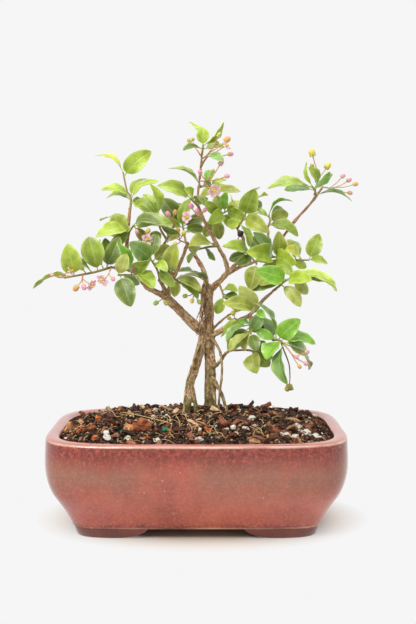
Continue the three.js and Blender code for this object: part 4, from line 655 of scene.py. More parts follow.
def bark_material():
    """Brown bark with dark seams along it and cream ridges between them, partly the bark's own colour and
    partly painted shade and painted highlight; pale pores across it and a green film on the roots.
    """
    material, tree, shader = new_material("bark", 0.86, Specular_IOR_Level=0.25)
    grain = attribute(tree, "grain", "Vector")
    seams = noise_at(tree, stretched(tree, grain, (1, 1, 0.4)), 620, 4, 0.65, 0.6)
    pores = noise_at(tree, stretched(tree, grain, (0.45, 0.45, 1.5)), 560, 2, 0.5)
    at = place_on(tree)
    patches = noise_at(tree, at, 95, 4, 0.6)
    scales = noise_at(tree, at, 820, 3, 0.7)
    # Partly painted light: the seam ramp gives the hollows painted shade and the raised ridges a cream
    # painted highlight, over the bark's own browns
    colour = layered(
        tree,
        ramp(tree, seams, (0.32, "#553B28"), (0.42, "#A07553"), (0.52, "#C9A47B"), (0.64, "#F2E0BA")),
        ("#8A6543", 0.55, patches, 0.5, 0.68),
        ("#D2BC95", 0.75, pores, 0.6, 0.68),
        ("#6C4A33", 0.62, scales, 0.46, 0.34),
    )
    low = spread(tree, height_of(tree, at), 0.150, 0.085, 0, 0.85)
    film = times(tree, low, spread(tree, patches, 0.36, 0.6))
    colour = mixed(tree, film, colour, ramp(tree, seams, (0.35, "#4D4C22"), (0.65, "#8F8A48")))
    colour = mixed(tree, times(tree, attribute(tree, "young", "Fac"), 0.7), colour, "#B98364")
    feed(tree, shader.inputs["Base Color"], colour)
    bumped(tree, shader, (seams, 0.001, 0.9), (scales, 0.0007, 0.8), (pores, 0.0004, 0.6))
    return material


def leaf_material():
    """A glossy blade with a pale midrib, side veins and a lighter rim, in each leaf's own tone."""
    material, tree, shader = new_material("leaf", 0.32, Specular_IOR_Level=0.5)
    where = add_node(tree, "ShaderNodeSeparateXYZ", Vector=attribute(tree, "blade", "Vector"))
    across = maths(tree, "ABSOLUTE", where.outputs["X"])
    tone = attribute(tree, "tint")
    patches = noise_at(tree, place_on(tree), 150, 3)
    shade = mixed(tree, 1.0, tone, "#A8AC78", "MULTIPLY")
    bright = mixed(tree, 0.45, tone, "#E2EE98")
    colour = layered(tree, tone, (shade, 0.7, patches, 0.35, 0.65), (bright, 0.6, across, 0.6, 1.0))
    climb = maths(tree, "SUBTRACT", times(tree, where.outputs["Y"], 9.0), times(tree, across, 2.2))
    wave = maths(tree, "ABSOLUTE", maths(tree, "SUBTRACT", maths(tree, "FRACT", climb), 0.5))
    veins = times(tree, spread(tree, wave, 0.09, 0.0), spread(tree, across, 0.95, 0.5))
    colour = mixed(tree, times(tree, veins, 0.35), colour, bright)
    rib = spread(tree, across, 0.11, 0.035)
    colour = mixed(tree, times(tree, rib, 0.45), colour, mixed(tree, 0.35, tone, "#E0E6A0"))
    feed(tree, shader.inputs["Base Color"], colour)
    feed(tree, shader.inputs["Roughness"], spread(tree, patches, 0.3, 0.7, 0.26, 0.4))
    bumped(tree, shader, (maths(tree, "ADD", times(tree, veins, -0.5), times(tree, rib, -1.0)), 0.00018, 0.7))
    return material


def tinted_material(name, roughness, **settings):
    """Stems, buds and petals: the tint written into the mesh, with a little unevenness."""
    material, tree, shader = new_material(name, roughness, **settings)
    grain = noise_at(tree, place_on(tree), 900.0, 3, 0.6)
    uneven = spread(tree, grain, 0.35, 0.65, 0, 0.45)
    colour = mixed(tree, uneven, attribute(tree, "tint"), "#FFFFFF", "SOFT_LIGHT")
    feed(tree, shader.inputs["Base Color"], colour)
    bumped(tree, shader, (grain, 0.0002, 0.4))
    return material


# Pot
def pressed(radius, angle, height):
    """A circle's point pressed into the rounded oblong of the pot, in millimetres."""
    power = SQUARENESS["foot"] + (SQUARENESS["rim"] - SQUARENESS["foot"]) * np.clip(height / RIM_HEIGHT, 0, 1)
    depth = radius - DEPTH_LESS * np.minimum(1, radius / ROUND_WITHIN)
    stretch = (np.abs(np.cos(angle)) ** power + np.abs(np.sin(angle)) ** power) ** (-1 / power)
    return radius * np.cos(angle) * stretch, depth * np.sin(angle) * stretch


def turned(name, profile, steps):
    """A closed body: the profile spun round the pot's middle, then pressed into its oblong."""
    bm = bmesh.new()
    points = [bm.verts.new((radius, 0, height)) for radius, height in profile]
    edges = [bm.edges.new(pair) for pair in zip(points, points[1:])]
    bmesh.ops.spin(
        bm, geom=points + edges, cent=(0, 0, 0), axis=(0, 0, 1), angle=math.tau, steps=steps, use_merge=True
    )
    bmesh.ops.remove_doubles(bm, verts=bm.verts, dist=1e-4)
    for vertex in bm.verts:
        x, y, z = vertex.co
        vertex.co.xy = pressed(math.hypot(x, y), math.atan2(y, x), z)
    bmesh.ops.recalc_face_normals(bm, faces=bm.faces)
    return bm


def settle(bm, size=MM, centre=POT_MIDDLE):
    """Scales a mesh that is built round zero and moves it to its place in the frame."""
    bmesh.ops.scale(bm, vec=(size, size, size), verts=bm.verts)
    bmesh.ops.translate(bm, vec=centre, verts=bm.verts)
    return bm


def gap_cutter(gap, length, turn):
    """A block whose side outline curves in from a wide foot to a narrow top."""
    bm = bmesh.new()
    foot = (gap["low"], 0)
    corner = (gap["high"] + 4, 0.5)
    top = (gap["high"], FLOOR_UNDER)
    half = [(gap["low"], -2), foot]
    for step in range(1, 13):
        t = step / 12
        curve = zip(foot, corner, top)
        half.append([(1 - t) ** 2 * a + 2 * t * (1 - t) * b + t**2 * c for a, b, c in curve])
    outline = [(x, -length / 2, z) for x, z in half]
    outline += [(-x, y, z) for x, y, z in reversed(outline)]
    face = bm.faces.new([bm.verts.new(point) for point in outline])
    pushed = bmesh.ops.extrude_face_region(bm, geom=[face])["geom"]
    moved = [part for part in pushed if isinstance(part, bmesh.types.BMVert)]
    bmesh.ops.translate(bm, vec=(0, length, 0), verts=moved)
    bmesh.ops.rotate(bm, cent=(0, 0, 0), matrix=Matrix.Rotation(turn, 3, "Z"), verts=bm.verts)
    bmesh.ops.recalc_face_normals(bm, faces=bm.faces)
    return object_from("gap", settle(bm))


def drain_cutter(side):
    bm = bmesh.new()
    bmesh.ops.create_cone(
        bm, cap_ends=True, segments=40, radius1=DRAIN_RADIUS, radius2=DRAIN_RADIUS, depth=2 * FLOOR_TOP
    )
    bmesh.ops.translate(bm, vec=(side * DRAIN_OFFSET, 0, FLOOR_UNDER), verts=bm.verts)
    return object_from("drain", settle(bm))


def pot_profile():
    """Half a section through the pot as (radius, height), from the middle of its underside to its floor."""
    outer = [(17.7, 8.2), (13.3, 16.6), (9, 23.5), (5, 30), (2, 38), (0.3, 48), (0, RIM_HEIGHT - 5)]
    belly = smooth_path([Vector((POT_HALF - inset, height)) for inset, height in outer], 5)
    lip = []
    for step in range(1, 14):
        angle = math.pi * step / 13
        across = LIP_WIDTH / 2 * math.copysign(abs(math.cos(angle)) ** 0.72, math.cos(angle))
        rise = LIP_RISE * max(0, math.sin(angle)) ** 0.8
        lip.append((LIP_WIDTH / 2 - across, RIM_HEIGHT - LIP_RISE + rise))
    insets = [
        (FOOT_EDGE + FOOT_WIDTH + 2, FLOOR_UNDER),
        (FOOT_EDGE + FOOT_WIDTH, 0.6),
        (FOOT_EDGE + FOOT_WIDTH - 0.6, 0),
        (FOOT_EDGE + 0.6, 0),
        (FOOT_EDGE, 0.5),
        (19.3, 5.6),
        (19.1, 6.6),
        (18.2, 7.1),
        *[(POT_HALF - point.x, point.y) for point, _ in belly],
        *lip,
        (LIP_WIDTH + 1, 46),
        (15, 30),
        (22, FLOOR_TOP + 2),
        (25, FLOOR_TOP),
    ]
    return [(0, FLOOR_UNDER), *[(POT_HALF - inset, height) for inset, height in insets], (0, FLOOR_TOP)]


def make_pot():
    bm = turned("pot", pot_profile(), POT_STEPS)
    for vertex in bm.verts:
        if vertex.co.z > FLOOR_UNDER + 0.2:
            outward = Vector((vertex.co.x, vertex.co.y, 0)).normalized()
            sway = noise.noise(vertex.co / 42) * 0.45 + noise.noise(vertex.co / 15) * 0.12
            vertex.co += outward * (sway - 0.15)
    pot = object_from("glazed_pot", settle(bm))
    cutters = [gap_cutter(FRONT_GAP, 2 * POT_HALF, 0), gap_cutter(SIDE_GAP, 2.4 * POT_HALF, math.pi / 2)]
    cutters += [drain_cutter(-1), drain_cutter(1)]
    for cutter in cutters:
        cut = pot.modifiers.new("cut", "BOOLEAN")
        cut.operation = "DIFFERENCE"
        cut.solver = "EXACT"
        cut.object = cutter
    pot = applied(pot)
    for cutter in cutters:
        bpy.data.objects.remove(cutter)
    nodes = [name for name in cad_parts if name.startswith("pot")]
    dress(smooth(pot, 38), nodes, glaze_material())


# Soil
def outline_radius(x, y):
    """The radius of the circle that is pressed through a place on the soil, in millimetres."""
    low = 0.5
    high = 1.2 * POT_HALF
    for _ in range(18):
        middle = (low + high) / 2
        depth = middle - DEPTH_LESS * min(1, middle / ROUND_WITHIN)
        if abs(x / middle) ** SQUARENESS["rim"] + abs(y / depth) ** SQUARENESS["rim"] > 1:
            low = middle
        else:
            high = middle
    return high


def soil_height(x, y, radius):
    """Height of the mounded soil, in millimetres."""
    mound = SOIL_RISE * (1 - (radius / SOIL_RADIUS) ** 3)
    ripple = np.sin(x / 6.1 + y / 9.3) + np.sin(y / 5.2 - x / 11.7) * 0.8
    return float(SOIL_EDGE + mound + 0.7 * ripple * np.minimum(1, (SOIL_RADIUS - radius) / 12))


def make_soil_bed():
    """The body of the soil, its top broken up by noise; crumbs and chips lie on it."""
    rings = 70
    top = [((SOIL_RADIUS - 0.6) * (rings - ring) / rings, SOIL_EDGE) for ring in range(rings + 1)]
    side = [(25.6, FLOOR_TOP + GAP), (22.8, FLOOR_TOP + 2.4), (15.8, 30), (LIP_WIDTH + 1.6, 46)]
    below = [(POT_HALF - inset, height) for inset, height in side]
    bm = turned("soil", [(0, FLOOR_TOP + GAP), *below, *top], 200)
    for vertex in bm.verts:
        x, y, z = vertex.co
        if z >= SOIL_EDGE - 0.01:
            radius = outline_radius(x, y)
            rough = noise.fractal(Vector((x, y, 0)) / 4.2, 0.7, 2.1, 4) * 1.3
            vertex.co.z = soil_height(x, y, radius) + rough * min(1, (SOIL_RADIUS - radius) / 5) - 0.5
    dress(smooth(object_from("soil_bed", settle(bm)), 80), ["soil"], soil_material())


def lump(name, faces, seed, squash, rough=0.45):
    """A small broken lump to copy: an icosphere pulled about by noise."""
    bm = bmesh.new()
    bmesh.ops.create_icosphere(bm, subdivisions=faces, radius=0.5)
    for vertex in bm.verts:
        vertex.co *= 1 + rough * noise.noise(vertex.co * 2.6 + Vector((seed, 0, 0)))
        vertex.co *= Vector(squash)
    return mesh_from(name, bm)


def flake(name, seed):
    """A splinter of bark to copy: a board bent by noise, thinner at its ends."""
    bm = bmesh.new()
    bmesh.ops.create_cube(bm, size=1)
    lengthwise = [e for e in bm.edges if abs(e.verts[0].co.x - e.verts[1].co.x) > 0.5]
    bmesh.ops.subdivide_edges(bm, edges=lengthwise, cuts=2)
    for vertex in bm.verts:
        shake = noise.noise_vector(vertex.co * 2.3 + Vector((seed, 3, 1)))
        taper = 1 - 0.35 * abs(vertex.co.x) * 2
        vertex.co = Vector((vertex.co.x, vertex.co.y * 0.42 * taper, vertex.co.z * 0.2)) + shake * 0.09
        vertex.co.z += 0.1 * math.sin(vertex.co.x * 3 + seed)
    return mesh_from(name, bm)


def bevelled_flake(name, seed):
    """A larger chip of bark, its edges rounded and its faces layered."""
    bm = bmesh.new()
    bm.from_mesh(flake(name + "_block", seed))
    bmesh.ops.bevel(
        bm, geom=list(bm.edges), offset=0.03, segments=2, profile=0.5, affect="EDGES", material=-1
    )
    bmesh.ops.subdivide_edges(bm, edges=bm.edges, cuts=1, use_grid_fill=True)
    for vertex in bm.verts:
        layers = Vector((vertex.co.x * 3, vertex.co.y * 16, vertex.co.z * 30))
        vertex.co += vertex.normal * 0.035 * noise.noise(layers)
    return mesh_from(name, bm)


def scattered(name, shapes, copies):
    """One mesh with a copy of a small shape for each (matrix, colour)."""
    parts = []
    for shape in shapes:
        coordinates = np.empty(len(shape.vertices) * 3)
        shape.vertices.foreach_get("co", coordinates)
        parts.append((coordinates.reshape(-1, 3), [tuple(face.vertices) for face in shape.polygons]))
    points = []
    faces = []
    tints = []
    for i, (matrix, colour) in enumerate(copies):
        coordinates, corners = parts[i % len(parts)]
        turn = np.array(matrix)
        points.append(coordinates @ turn[:3, :3].T + turn[:3, 3])
        faces += [tuple(len(tints) + corner for corner in face) for face in corners]
        tints += [colour] * len(coordinates)
    mesh = bpy.data.meshes.new(name)
    mesh.from_pydata(np.concatenate(points), [], faces)
    return tinted(object_of(name, mesh), tints)


def spots_on_soil(draw, count, margin, front=0.0):
    """Random places on the soil, clear of its edge by a margin; front pulls some of them forwards."""
    spots = []
    while len(spots) < count:
        x = draw.uniform(-POT_HALF, POT_HALF)
        y = draw.uniform(-POT_HALF + DEPTH_LESS, POT_HALF - DEPTH_LESS)
        if draw.random() < front:
            y = -abs(y)
        radius = outline_radius(x, y)
        if radius < SOIL_RADIUS - margin:
            spots.append((x, y, soil_height(x, y, radius)))
    return spots


def loose_bits(name, shapes, count, sizes, palette, draw, margin=2.5, lift=0.1, tilt=0.6):
    """Copies of small shapes over the soil, half sunk, with colours drawn from a weighted palette."""
    copies = []
    for x, y, z in spots_on_soil(draw, count, margin):
        size = draw.triangular(sizes[0], sizes[1], sizes[0] + 0.3 * (sizes[1] - sizes[0]))
        turn = Euler((draw.uniform(-tilt, tilt), draw.uniform(-tilt, tilt), draw.uniform(0, math.tau)))
        move = Matrix.Translation(in_frame((x, y, z + lift * size)))
        (code,) = draw.choices(list(palette), list(palette.values()))
        colour = Vector(rgb(code)) * draw.uniform(0.75, 1.25)
        copies.append((move @ turn.to_matrix().to_4x4() @ Matrix.Scale(size * MM, 4), (*colour[:3], 1)))
    return scattered(name, shapes, copies)


# Colours of the bits, with the share of each where they are drawn
CRUMBS = {
    "#17100B": 6,
    "#281C14": 6,
    "#45301F": 5,
    "#6B4B33": 4,
    "#95704D": 2.4,
    "#C09C74": 1.4,
    "#7C4028": 1.4,
}
SPLINTERS = {"#553322": 4, "#7E4A33": 4, "#A4674A": 2, "#3B281E": 3, "#BC8E63": 1.8, "#D6B48A": 0.9}
CLAY = {"#C4673A": 3, "#D98A52": 2, "#A9512F": 2}
WHITES = {"#DED6C8": 3, "#CFC4B2": 2, "#BFAF99": 1}
CHIPS = ["#8E4F33", "#A05C38", "#7A4029"]
BIT_COLOURS = {
    "white": "#D8CFC0",
    "cream": "#D9C5A6",
    "clay": "#CF7240",
    "pale_clay": "#DE9C68",
    "bark": "#93512F",
    "dark_bark": "#4A2C20",
    "green": "#1F8556",
}

# Kinds of larger bits: finish slot, stretch along their own axes, and how dark their dark spots are
BIT_KINDS = {
    "stone": ("perlite", (1.05, 1.05, 0.8), 0.8),
    "clay": ("bark_chip", (1, 1, 1), 0.6),
    "bark": ("bark_chip", (1, 1.5, 1.3), 0.6),
    "pellet": ("soil", (1.35, 0.8, 0.8), 0.6),
}


def on_soil(across, up):
    """The place on the soil that a sight line meets, or the nearest one inside the rim."""
    nearest = None
    for back in range(-POT_HALF, POT_HALF):
        spot = (place(across, up, back) - POT_MIDDLE) / MM
        radius = outline_radius(spot.x, spot.y)
        if radius > INNER_RIM - 2:
            continue
        height = soil_height(spot.x, spot.y, radius)
        if nearest is None or spot.z - height < nearest[0]:
            nearest = (spot.z - height, Vector((spot.x, spot.y, height)))
        if spot.z < height:
            break
    return nearest[1]


def make_seen_bits():
    """The larger bits at their own places: perlite, clay, bark and fertiliser pellets."""
    lumps = [lump(f"seen_lump_{i}", 2, 4.3 * i, (1, 0.8, 0.7), 1.1) for i in range(6)]
    flakes = [bevelled_flake(f"seen_bark_{i}", 1.7 * i) for i in range(3)]
    draw = random.Random(8)
    for kind, (slot, stretch, contrast) in BIT_KINDS.items():
        (rows,) = SOIL_BITS[kind]
        copies = []
        for across, up, size, tilt, colour in rows:
            turn = Euler((draw.uniform(-0.4, 0.4), math.radians(-tilt), draw.uniform(-0.5, 0.5)))
            if kind != "bark":
                turn = Euler([draw.uniform(0, 6) for _ in range(3)])
            if kind == "stone":
                turn = Euler((draw.uniform(-0.3, 0.3), math.radians(-tilt), draw.uniform(0, 6)))
            move = Matrix.Translation(in_frame(on_soil(across, up) + Vector((0, 0, 0.14 * size))))
            scale = Matrix.Diagonal((*[size * share * MM for share in stretch], 1))
            copies.append((move @ turn.to_matrix().to_4x4() @ scale, rgb(BIT_COLOURS[colour])))
        made = scattered(f"seen_{kind}", flakes if kind == "bark" else lumps, copies)
        dress(smooth(made, 28), [], crumb_material(f"seen_{kind}", 0.8, 500, contrast))


def make_soil_crumbs():
    draw = random.Random(11)
    crumb = crumb_material("crumb", 0.9, 900, 0.4)
    lumps = [lump(f"crumb_{i}", 1, 5 * i, (1, 0.85, 0.72)) for i in range(5)]
    splinters = [flake(f"splinter_{i}", 3.7 * i) for i in range(5)]
    crumbs = loose_bits("soil_crumbs", lumps, 7600, (0.9, 3.1), CRUMBS, draw, margin=0.8, lift=0.12)
    dress(crumbs, [], crumb)
    chips = loose_bits(
        "bark_splinters", splinters, 400, (3, 12), SPLINTERS, draw, margin=3, lift=0.06, tilt=0.75
    )
    dress(chips, [], crumb_material("splinter", 0.8, 420, 0.5))
    clay = loose_bits("clay_grit", lumps, 60, (1.5, 4.0), CLAY, draw, lift=0.3)
    dress(clay, [], crumb)
    grit = loose_bits("white_grit", lumps, 80, (1.0, 3.2), WHITES, draw, lift=0.3)
    dress(smooth(grit), [], crumb_material("white_crumb", 0.85, 700, 0.8))


def make_chips():
    """The larger loose chips, each in the space of its node."""
    for kind in ("bark_chip", "perlite"):
        nodes = [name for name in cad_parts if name.startswith(kind)]
        copies = []
        for i, name in enumerate(sorted(nodes)):
            low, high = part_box(name)
            size = high - low
            if kind == "bark_chip":
                turn = Euler((0.15, -0.1, 0.3 + 0.9 * i))
                stretch = (max(size.x, size.y) * 1.08, min(size.x, size.y) * 1.7, size.z * 2.6)
            else:
                turn = Euler((0.4 * i, 0.2, 1.1 * i))
                stretch = [max(size) * 1.02] * 3
            turned_there = Matrix.Translation((low + high) / 2) @ turn.to_matrix().to_4x4()
            colour = rgb(CHIPS[i % 3] if kind == "bark_chip" else "#E9E3D8")
            copies.append((turned_there @ Matrix.Diagonal((*stretch, 1)), colour))
        if kind == "bark_chip":
            chips = scattered("bark_chips", [bevelled_flake(f"chip_{i}", 2.1 * i) for i in range(3)], copies)
            dress(smooth(chips, 35), nodes, crumb_material("chip_bark", 0.7, 300, 0.6))
        else:
            lumps = [lump(f"stone_{i}", 3, 7 * i, (1, 0.9, 0.8)) for i in range(3)]
            stones = scattered("perlite_stones", lumps, copies)
            dress(smooth(stones), nodes, crumb_material("perlite", 0.9, 800, 0.82))


def make_rootlets():
    """Fine tan roots that lie tangled on the soil."""
    draw = random.Random(5)
    paths = []
    for x, y, _ in spots_on_soil(draw, 70, 8, front=0.5):
        heading = draw.uniform(0, math.tau)
        radius = draw.uniform(0.16, 0.34)
        path = []
        for step in range(draw.randint(9, 22)):
            heading += draw.uniform(-0.75, 0.75)
            x += 1.5 * math.cos(heading)
            y += 1.5 * math.sin(heading)
            within = outline_radius(x, y)
            if within > INNER_RIM - 4:
                break
            z = soil_height(x, y, within) + 0.9 + 1.3 * math.sin(step * 0.6 + radius * 40)
            path.append((in_frame((x, y, z)), radius * (1 - step / 30) * MM))
        if len(path) > 4:
            paths.append(path)
    for radius, *spots in SEEN_ROOTLETS:
        bent = smooth_path([on_soil(*spot) + Vector((0, 0, 1.6)) for spot in spots], 5)
        sway = [Vector((0, 0, 0.5 * math.sin(2.1 * at))) for _, at in bent]
        paths.append([(in_frame(spot + shift), radius * MM) for (spot, _), shift in zip(bent, sway)])
    roots = tinted(tubes("rootlets", paths, 4), rgb("#C2A36C"))
    dress(smooth(roots), [], tinted_material("rootlet", 0.8))


# Wood
THICK = 1.65
BARK_VOXEL = 0.5
# Heights between which bark turns young, in millimetres; the hanging roots stay below theirs
YOUNG_LIMBS = (165, 240)
YOUNG_TWIGS = (155, 205)
YOUNG_ROOTS = (400, 500)


def limb_path(name, steps=6, knobby=0.0):
    """The places and radii along a limb, in metres; a knobby one swells where leaves once grew."""
    (rows,) = LIMBS[name]
    path = []
    for spot, at in smooth_path([place(*row[:3]) for row in rows], steps):
        before = min(int(at), len(rows) - 2)
        radius = rows[before][3] + (rows[before + 1][3] - rows[before][3]) * (at - before)
        swell = 1 + knobby * max(0, math.sin(at * 5.1 + len(name))) ** 6
        path.append((spot, radius * swell * MM))
    return path


def search_tree(spots):
    tree = KDTree(len(spots))
    for i, spot in enumerate(spots):
        tree.insert(spot, i)
    tree.balance()
    return tree


def add_grain(piece, names):
    """Writes where each point lies on its limb: offsets from the centreline, then the way along it."""
    spots = []
    for number, name in enumerate(names):
        path = limb_path(name, 12)
        travelled = 0
        for i, (centre, radius) in enumerate(path):
            ahead = path[min(i + 1, len(path) - 1)][0] - path[max(i - 1, 0)][0]
            travelled += (centre - path[i - 1][0]).length if i else 0
            spots.append((centre, ahead.normalized(), travelled + number * 0.3, radius))
    tree = search_tree([centre for centre, _, _, _ in spots])
    grains = []
    found = []
    for vertex in piece.data.vertices:
        near = min(tree.find_n(vertex.co, 8), key=lambda hit: hit[2] / spots[hit[1]][3])
        centre, heading, travelled, radius = spots[near[1]]
        offset = vertex.co - centre
        along = offset.dot(heading)
        side = heading.cross(Vector((0.31, 0.93, 0.2))).normalized()
        over = side.cross(heading)
        grains.append((offset.dot(side), offset.dot(over), travelled + along))
        found.append((centre, heading, offset - heading * along, radius))
    written = piece.data.attributes.new("grain", "FLOAT_VECTOR", "POINT")
    written.data.foreach_set("vector", np.array(grains).ravel())
    return grains, found


def roughen_bark(piece, names, ridge, rough):
    """Raises winding ridges along the limbs and knobs between them."""
    grains, found = add_grain(piece, names)
    for vertex, (across, over, along), (_, _, outward, radius) in zip(piece.data.vertices, grains, found):
        if outward.length < 1e-6:
            continue
        angle = math.atan2(over, across)
        strands = 3 + int(radius / MM > 3) * 2
        wind = along * 55 + 1.8 * noise.noise(Vector((along * 60, radius * 900, 3)))
        ribs = math.sin(strands * angle + wind) * ridge * min(1, radius / MM / 3)
        knobs = noise.noise(vertex.co * 260) * 0.7 + noise.noise(vertex.co * 620) * 0.4
        knobs += noise.noise(vertex.co * 1150) * 0.3
        vertex.co += outward.normalized() * (ribs + knobs * rough) * MM


def young_share(piece, heights):
    """Writes how young the bark is: none low on the tree, all of it at the tips."""
    written = piece.data.attributes.new("young", "FLOAT", "POINT")
    low, high = (height * MM for height in heights)
    reached = [(vertex.co.z - low) / (high - low) for vertex in piece.data.vertices]
    written.data.foreach_set("value", np.clip(reached, 0, 1))


def make_wood(bark):
    thick = [name for name, (rows,) in LIMBS.items() if max(row[3] for row in rows) > THICK]
    thin = [name for name in LIMBS if name not in thick]
    body = tubes("trunk_and_limbs", [limb_path(name) for name in thick], 16)
    remesh = body.modifiers.new("grown_together", "REMESH")
    remesh.mode = "VOXEL"
    remesh.voxel_size = BARK_VOXEL * MM
    body = applied(body)
    soften = body.modifiers.new("soften", "SMOOTH")
    soften.factor = 0.5
    soften.iterations = 4
    body = applied(body)
    roughen_bark(body, thick, 0.26, 0.62)
    young_share(body, YOUNG_LIMBS)
    dress(smooth(body, 80), ["tree_wood"], bark)
    twigs = tubes("twigs_and_thin_roots", [limb_path(name, 10, 0.35) for name in thin], 12)
    roughen_bark(twigs, thin, 0.08, 0.24)
    young_share(twigs, YOUNG_TWIGS)
    dress(smooth(twigs, 80), ["tree_wood"], bark)


def make_aerial_roots(bark):
    """Frayed roots that hang from the crotch and wind down the trunk."""
    draw = random.Random(21)
    paths = []
    for _ in range(26):
        top = place(draw.uniform(1.5, 10.5), draw.uniform(150, 166), draw.uniform(9, 24))
        foot = place(draw.uniform(-2, 12), draw.uniform(118, 146), draw.uniform(10, 20))
        radius = draw.uniform(0.22, 0.5)
        middle = top.lerp(foot, 0.5) + Vector((draw.uniform(-2.2, 2.2), draw.uniform(-3.5, 0.5), 0)) * MM
        path = smooth_path([top, top.lerp(middle, 0.6) + Vector((0, -1.2 * MM, 0)), middle, foot], 5)
        paths.append([(spot, radius * MM * (1 - 0.12 * at)) for spot, at in path])
    roots = tubes("aerial_roots", paths, 6)
    add_grain(roots, ["trunk"])
    young_share(roots, YOUNG_ROOTS)
    dress(smooth(roots), ["tree_wood"], bark)


# Leaves
LEAF_ROWS = [
    (14, [(0, 0), (0.12, 0), (0.34, 0.84), (0.6, 1), (0.85, 0.66), (1, 0)]),
    (9, [(0, 0), (0.13, 0), (0.4, 1), (0.74, 0.88), (1, 0)]),
    (0, [(0, 0), (0.14, 0), (0.54, 1), (1, 0)]),
]
BENDS = [
    (push, turn, reach)
    for reach in (1, 0.82, 0.66)
    for push in (0, -6, 6, -12, 12, -18, 18, -25, 25)
    for turn in (0, 25, -25, 50, -50)
]
LEAF_LENGTHWISE = 18
LEAF_CROSSWISE = 8
SAME_PLACE = 0.04
# How the fine blades differ from the solid ones: wider, fuller and widest nearer to this share of their
# length
BLADE_WIDER = 1.1
BLADE_FULLNESS = 0.64
WIDEST_SHARE = 0.58
WIDEST_PULL = 0.4


class Leaf:
    """A blade's form: its centreline, folds and waves, as the solid leaf of its node has them."""

    def __init__(self, root, row, habit, bend):
        _, across, up, back, width, turn, bow = row[:7]
        push, further, reach = bend
        self.root = root
        self.rows = next(rows for least, rows in LEAF_ROWS if width >= least)
        self.half_width = width * math.sqrt(reach) / 2 * MM
        self.along = place(across, up, back + push) - root
        self.length = self.along.length * reach
        self.along.normalize()
        sight = (EYE - root).normalized()
        towards = (sight - self.along * sight.dot(self.along)).normalized()
        skyward = self.along.cross(towards)
        if skyward.z < 0:
            skyward.negate()
        angle = math.radians(turn + further)
        self.fold, arch, self.wave = habit
        self.normal = towards * math.cos(angle) + skyward * math.sin(angle)
        self.curving = self.normal * arch + skyward * bow

    def frame_at(self, share):
        centre = self.root + self.along * share * self.length
        centre += self.curving * 4 * share * (1 - share) * self.length
        heading = (self.along + self.curving * 4 * (1 - 2 * share)).normalized()
        facing = (self.normal - heading * self.normal.dot(heading)).normalized()
        return centre, facing, heading.cross(facing)

    def tip_points(self):
        """The two corners that the solid leaf has at its tip."""
        centre, facing, _ = self.frame_at(1)
        return [centre + facing * side * CAD_LEAF_THICKNESS / 2 * MM for side in (-1, 1)]

    def side_points(self):
        """The middles of the solid leaf's two edges at its widest row."""
        number = max(range(len(self.rows)), key=lambda i: self.rows[i][1])
        share, breadth = self.rows[number]
        return [self.solid_edge(number, share, breadth, hand) for hand in (-1, 1)]

    def solid_edge(self, number, share, breadth, hand):
        centre, facing, side = self.frame_at(share)
        reach = max(PETIOLE_WIDTH / 2 * MM, breadth * self.half_width)
        wave = self.wave * reach * math.sin(2.4 * number + 1.7 * hand)
        lift = self.fold * reach * min(1, breadth) + wave
        normal = (facing - side * hand * self.fold * 0.8).normalized()
        middle = centre + side * hand * reach + facing * lift
        return middle + normal * CAD_LEAF_THICKNESS / 2 * MM

    def blade_point(self, across, share):
        """A point of the fine blade: across from -1 to 1, share from its stem's end to its tip."""
        start = self.rows[1][0]
        at = start + (1 - start) * share
        centre, facing, side = self.frame_at(at)
        middle = (max(self.rows, key=lambda row: row[1])[0] - start) / (1 - start)
        widest = (1 - WIDEST_PULL) * middle + WIDEST_PULL * WIDEST_SHARE
        swell = math.sin(math.pi * min(1, max(0, share)) ** (math.log(0.5) / math.log(widest)))
        breadth = max(0.0, swell) ** BLADE_FULLNESS
        reach = BLADE_WIDER * self.half_width * breadth + 0.25 * MM * (1 - share)
        number = np.interp(at, [row[0] for row in self.rows], range(len(self.rows)))
        wave = self.wave * reach * math.sin(2.4 * number + 1.7 * math.copysign(1, across)) * across**2
        ripple = 0.07 * reach * math.sin(19 * share + 2.3 * across + self.length * 900) * abs(across) ** 3
        lift = self.fold * reach * breadth * abs(across) ** 1.35 + wave + ripple
        return centre + side * across * reach + facing * lift


def solid_leaf(root, row, habit, corners):
    """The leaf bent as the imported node's is, or None where the node has no such leaf."""
    def miss(leaf):
        misses = [corners.find(point)[2] for point in leaf.tip_points() + leaf.side_points()]
        return sum(sorted(misses)[:3])

    best = min((Leaf(root, row, habit, bend) for bend in BENDS), key=miss)
    return best if miss(best) < 3 * SAME_PLACE * MM else None


def blades(name, leaves):
    """The fine blades of a spray: bent grids, given their thickness by a modifier."""
    bm = bmesh.new()
    blade_layer = bm.verts.layers.float_vector.new("blade")
    tint_layer = bm.verts.layers.float_color.new("tint")
    for leaf, tint in leaves:
        grid = bmesh.ops.create_grid(bm, x_segments=LEAF_CROSSWISE, y_segments=LEAF_LENGTHWISE, size=1)
        for vertex in grid["verts"]:
            across = vertex.co.x
            share = (vertex.co.y + 1) / 2
            vertex[blade_layer] = (across, share, 0)
            vertex[tint_layer] = tint
            vertex.co = leaf.blade_point(across, share)
    return thickened(object_from(name, bm), LEAF_THICKNESS)


def stem_path(points, steps, radii):
    """A curve through places, its radius running evenly from the first given one to the last, in metres."""
    base, tip = radii
    last = len(points) - 1
    return [(spot, (base + (tip - base) * at / last) * MM) for spot, at in smooth_path(points, steps)]


def rib_path(leaf):
    """The stem and midrib of a leaf, just under its blade."""
    rib = []
    for step in range(15):
        share = step / 14 * 0.94
        centre, facing, _ = leaf.frame_at(share)
        on_blade = share > leaf.rows[1][0]
        thick = 0.38 - 0.28 * share if on_blade else 0.46
        rib.append((centre - facing * (0.16 if on_blade else 0) * MM, thick * MM))
    return rib


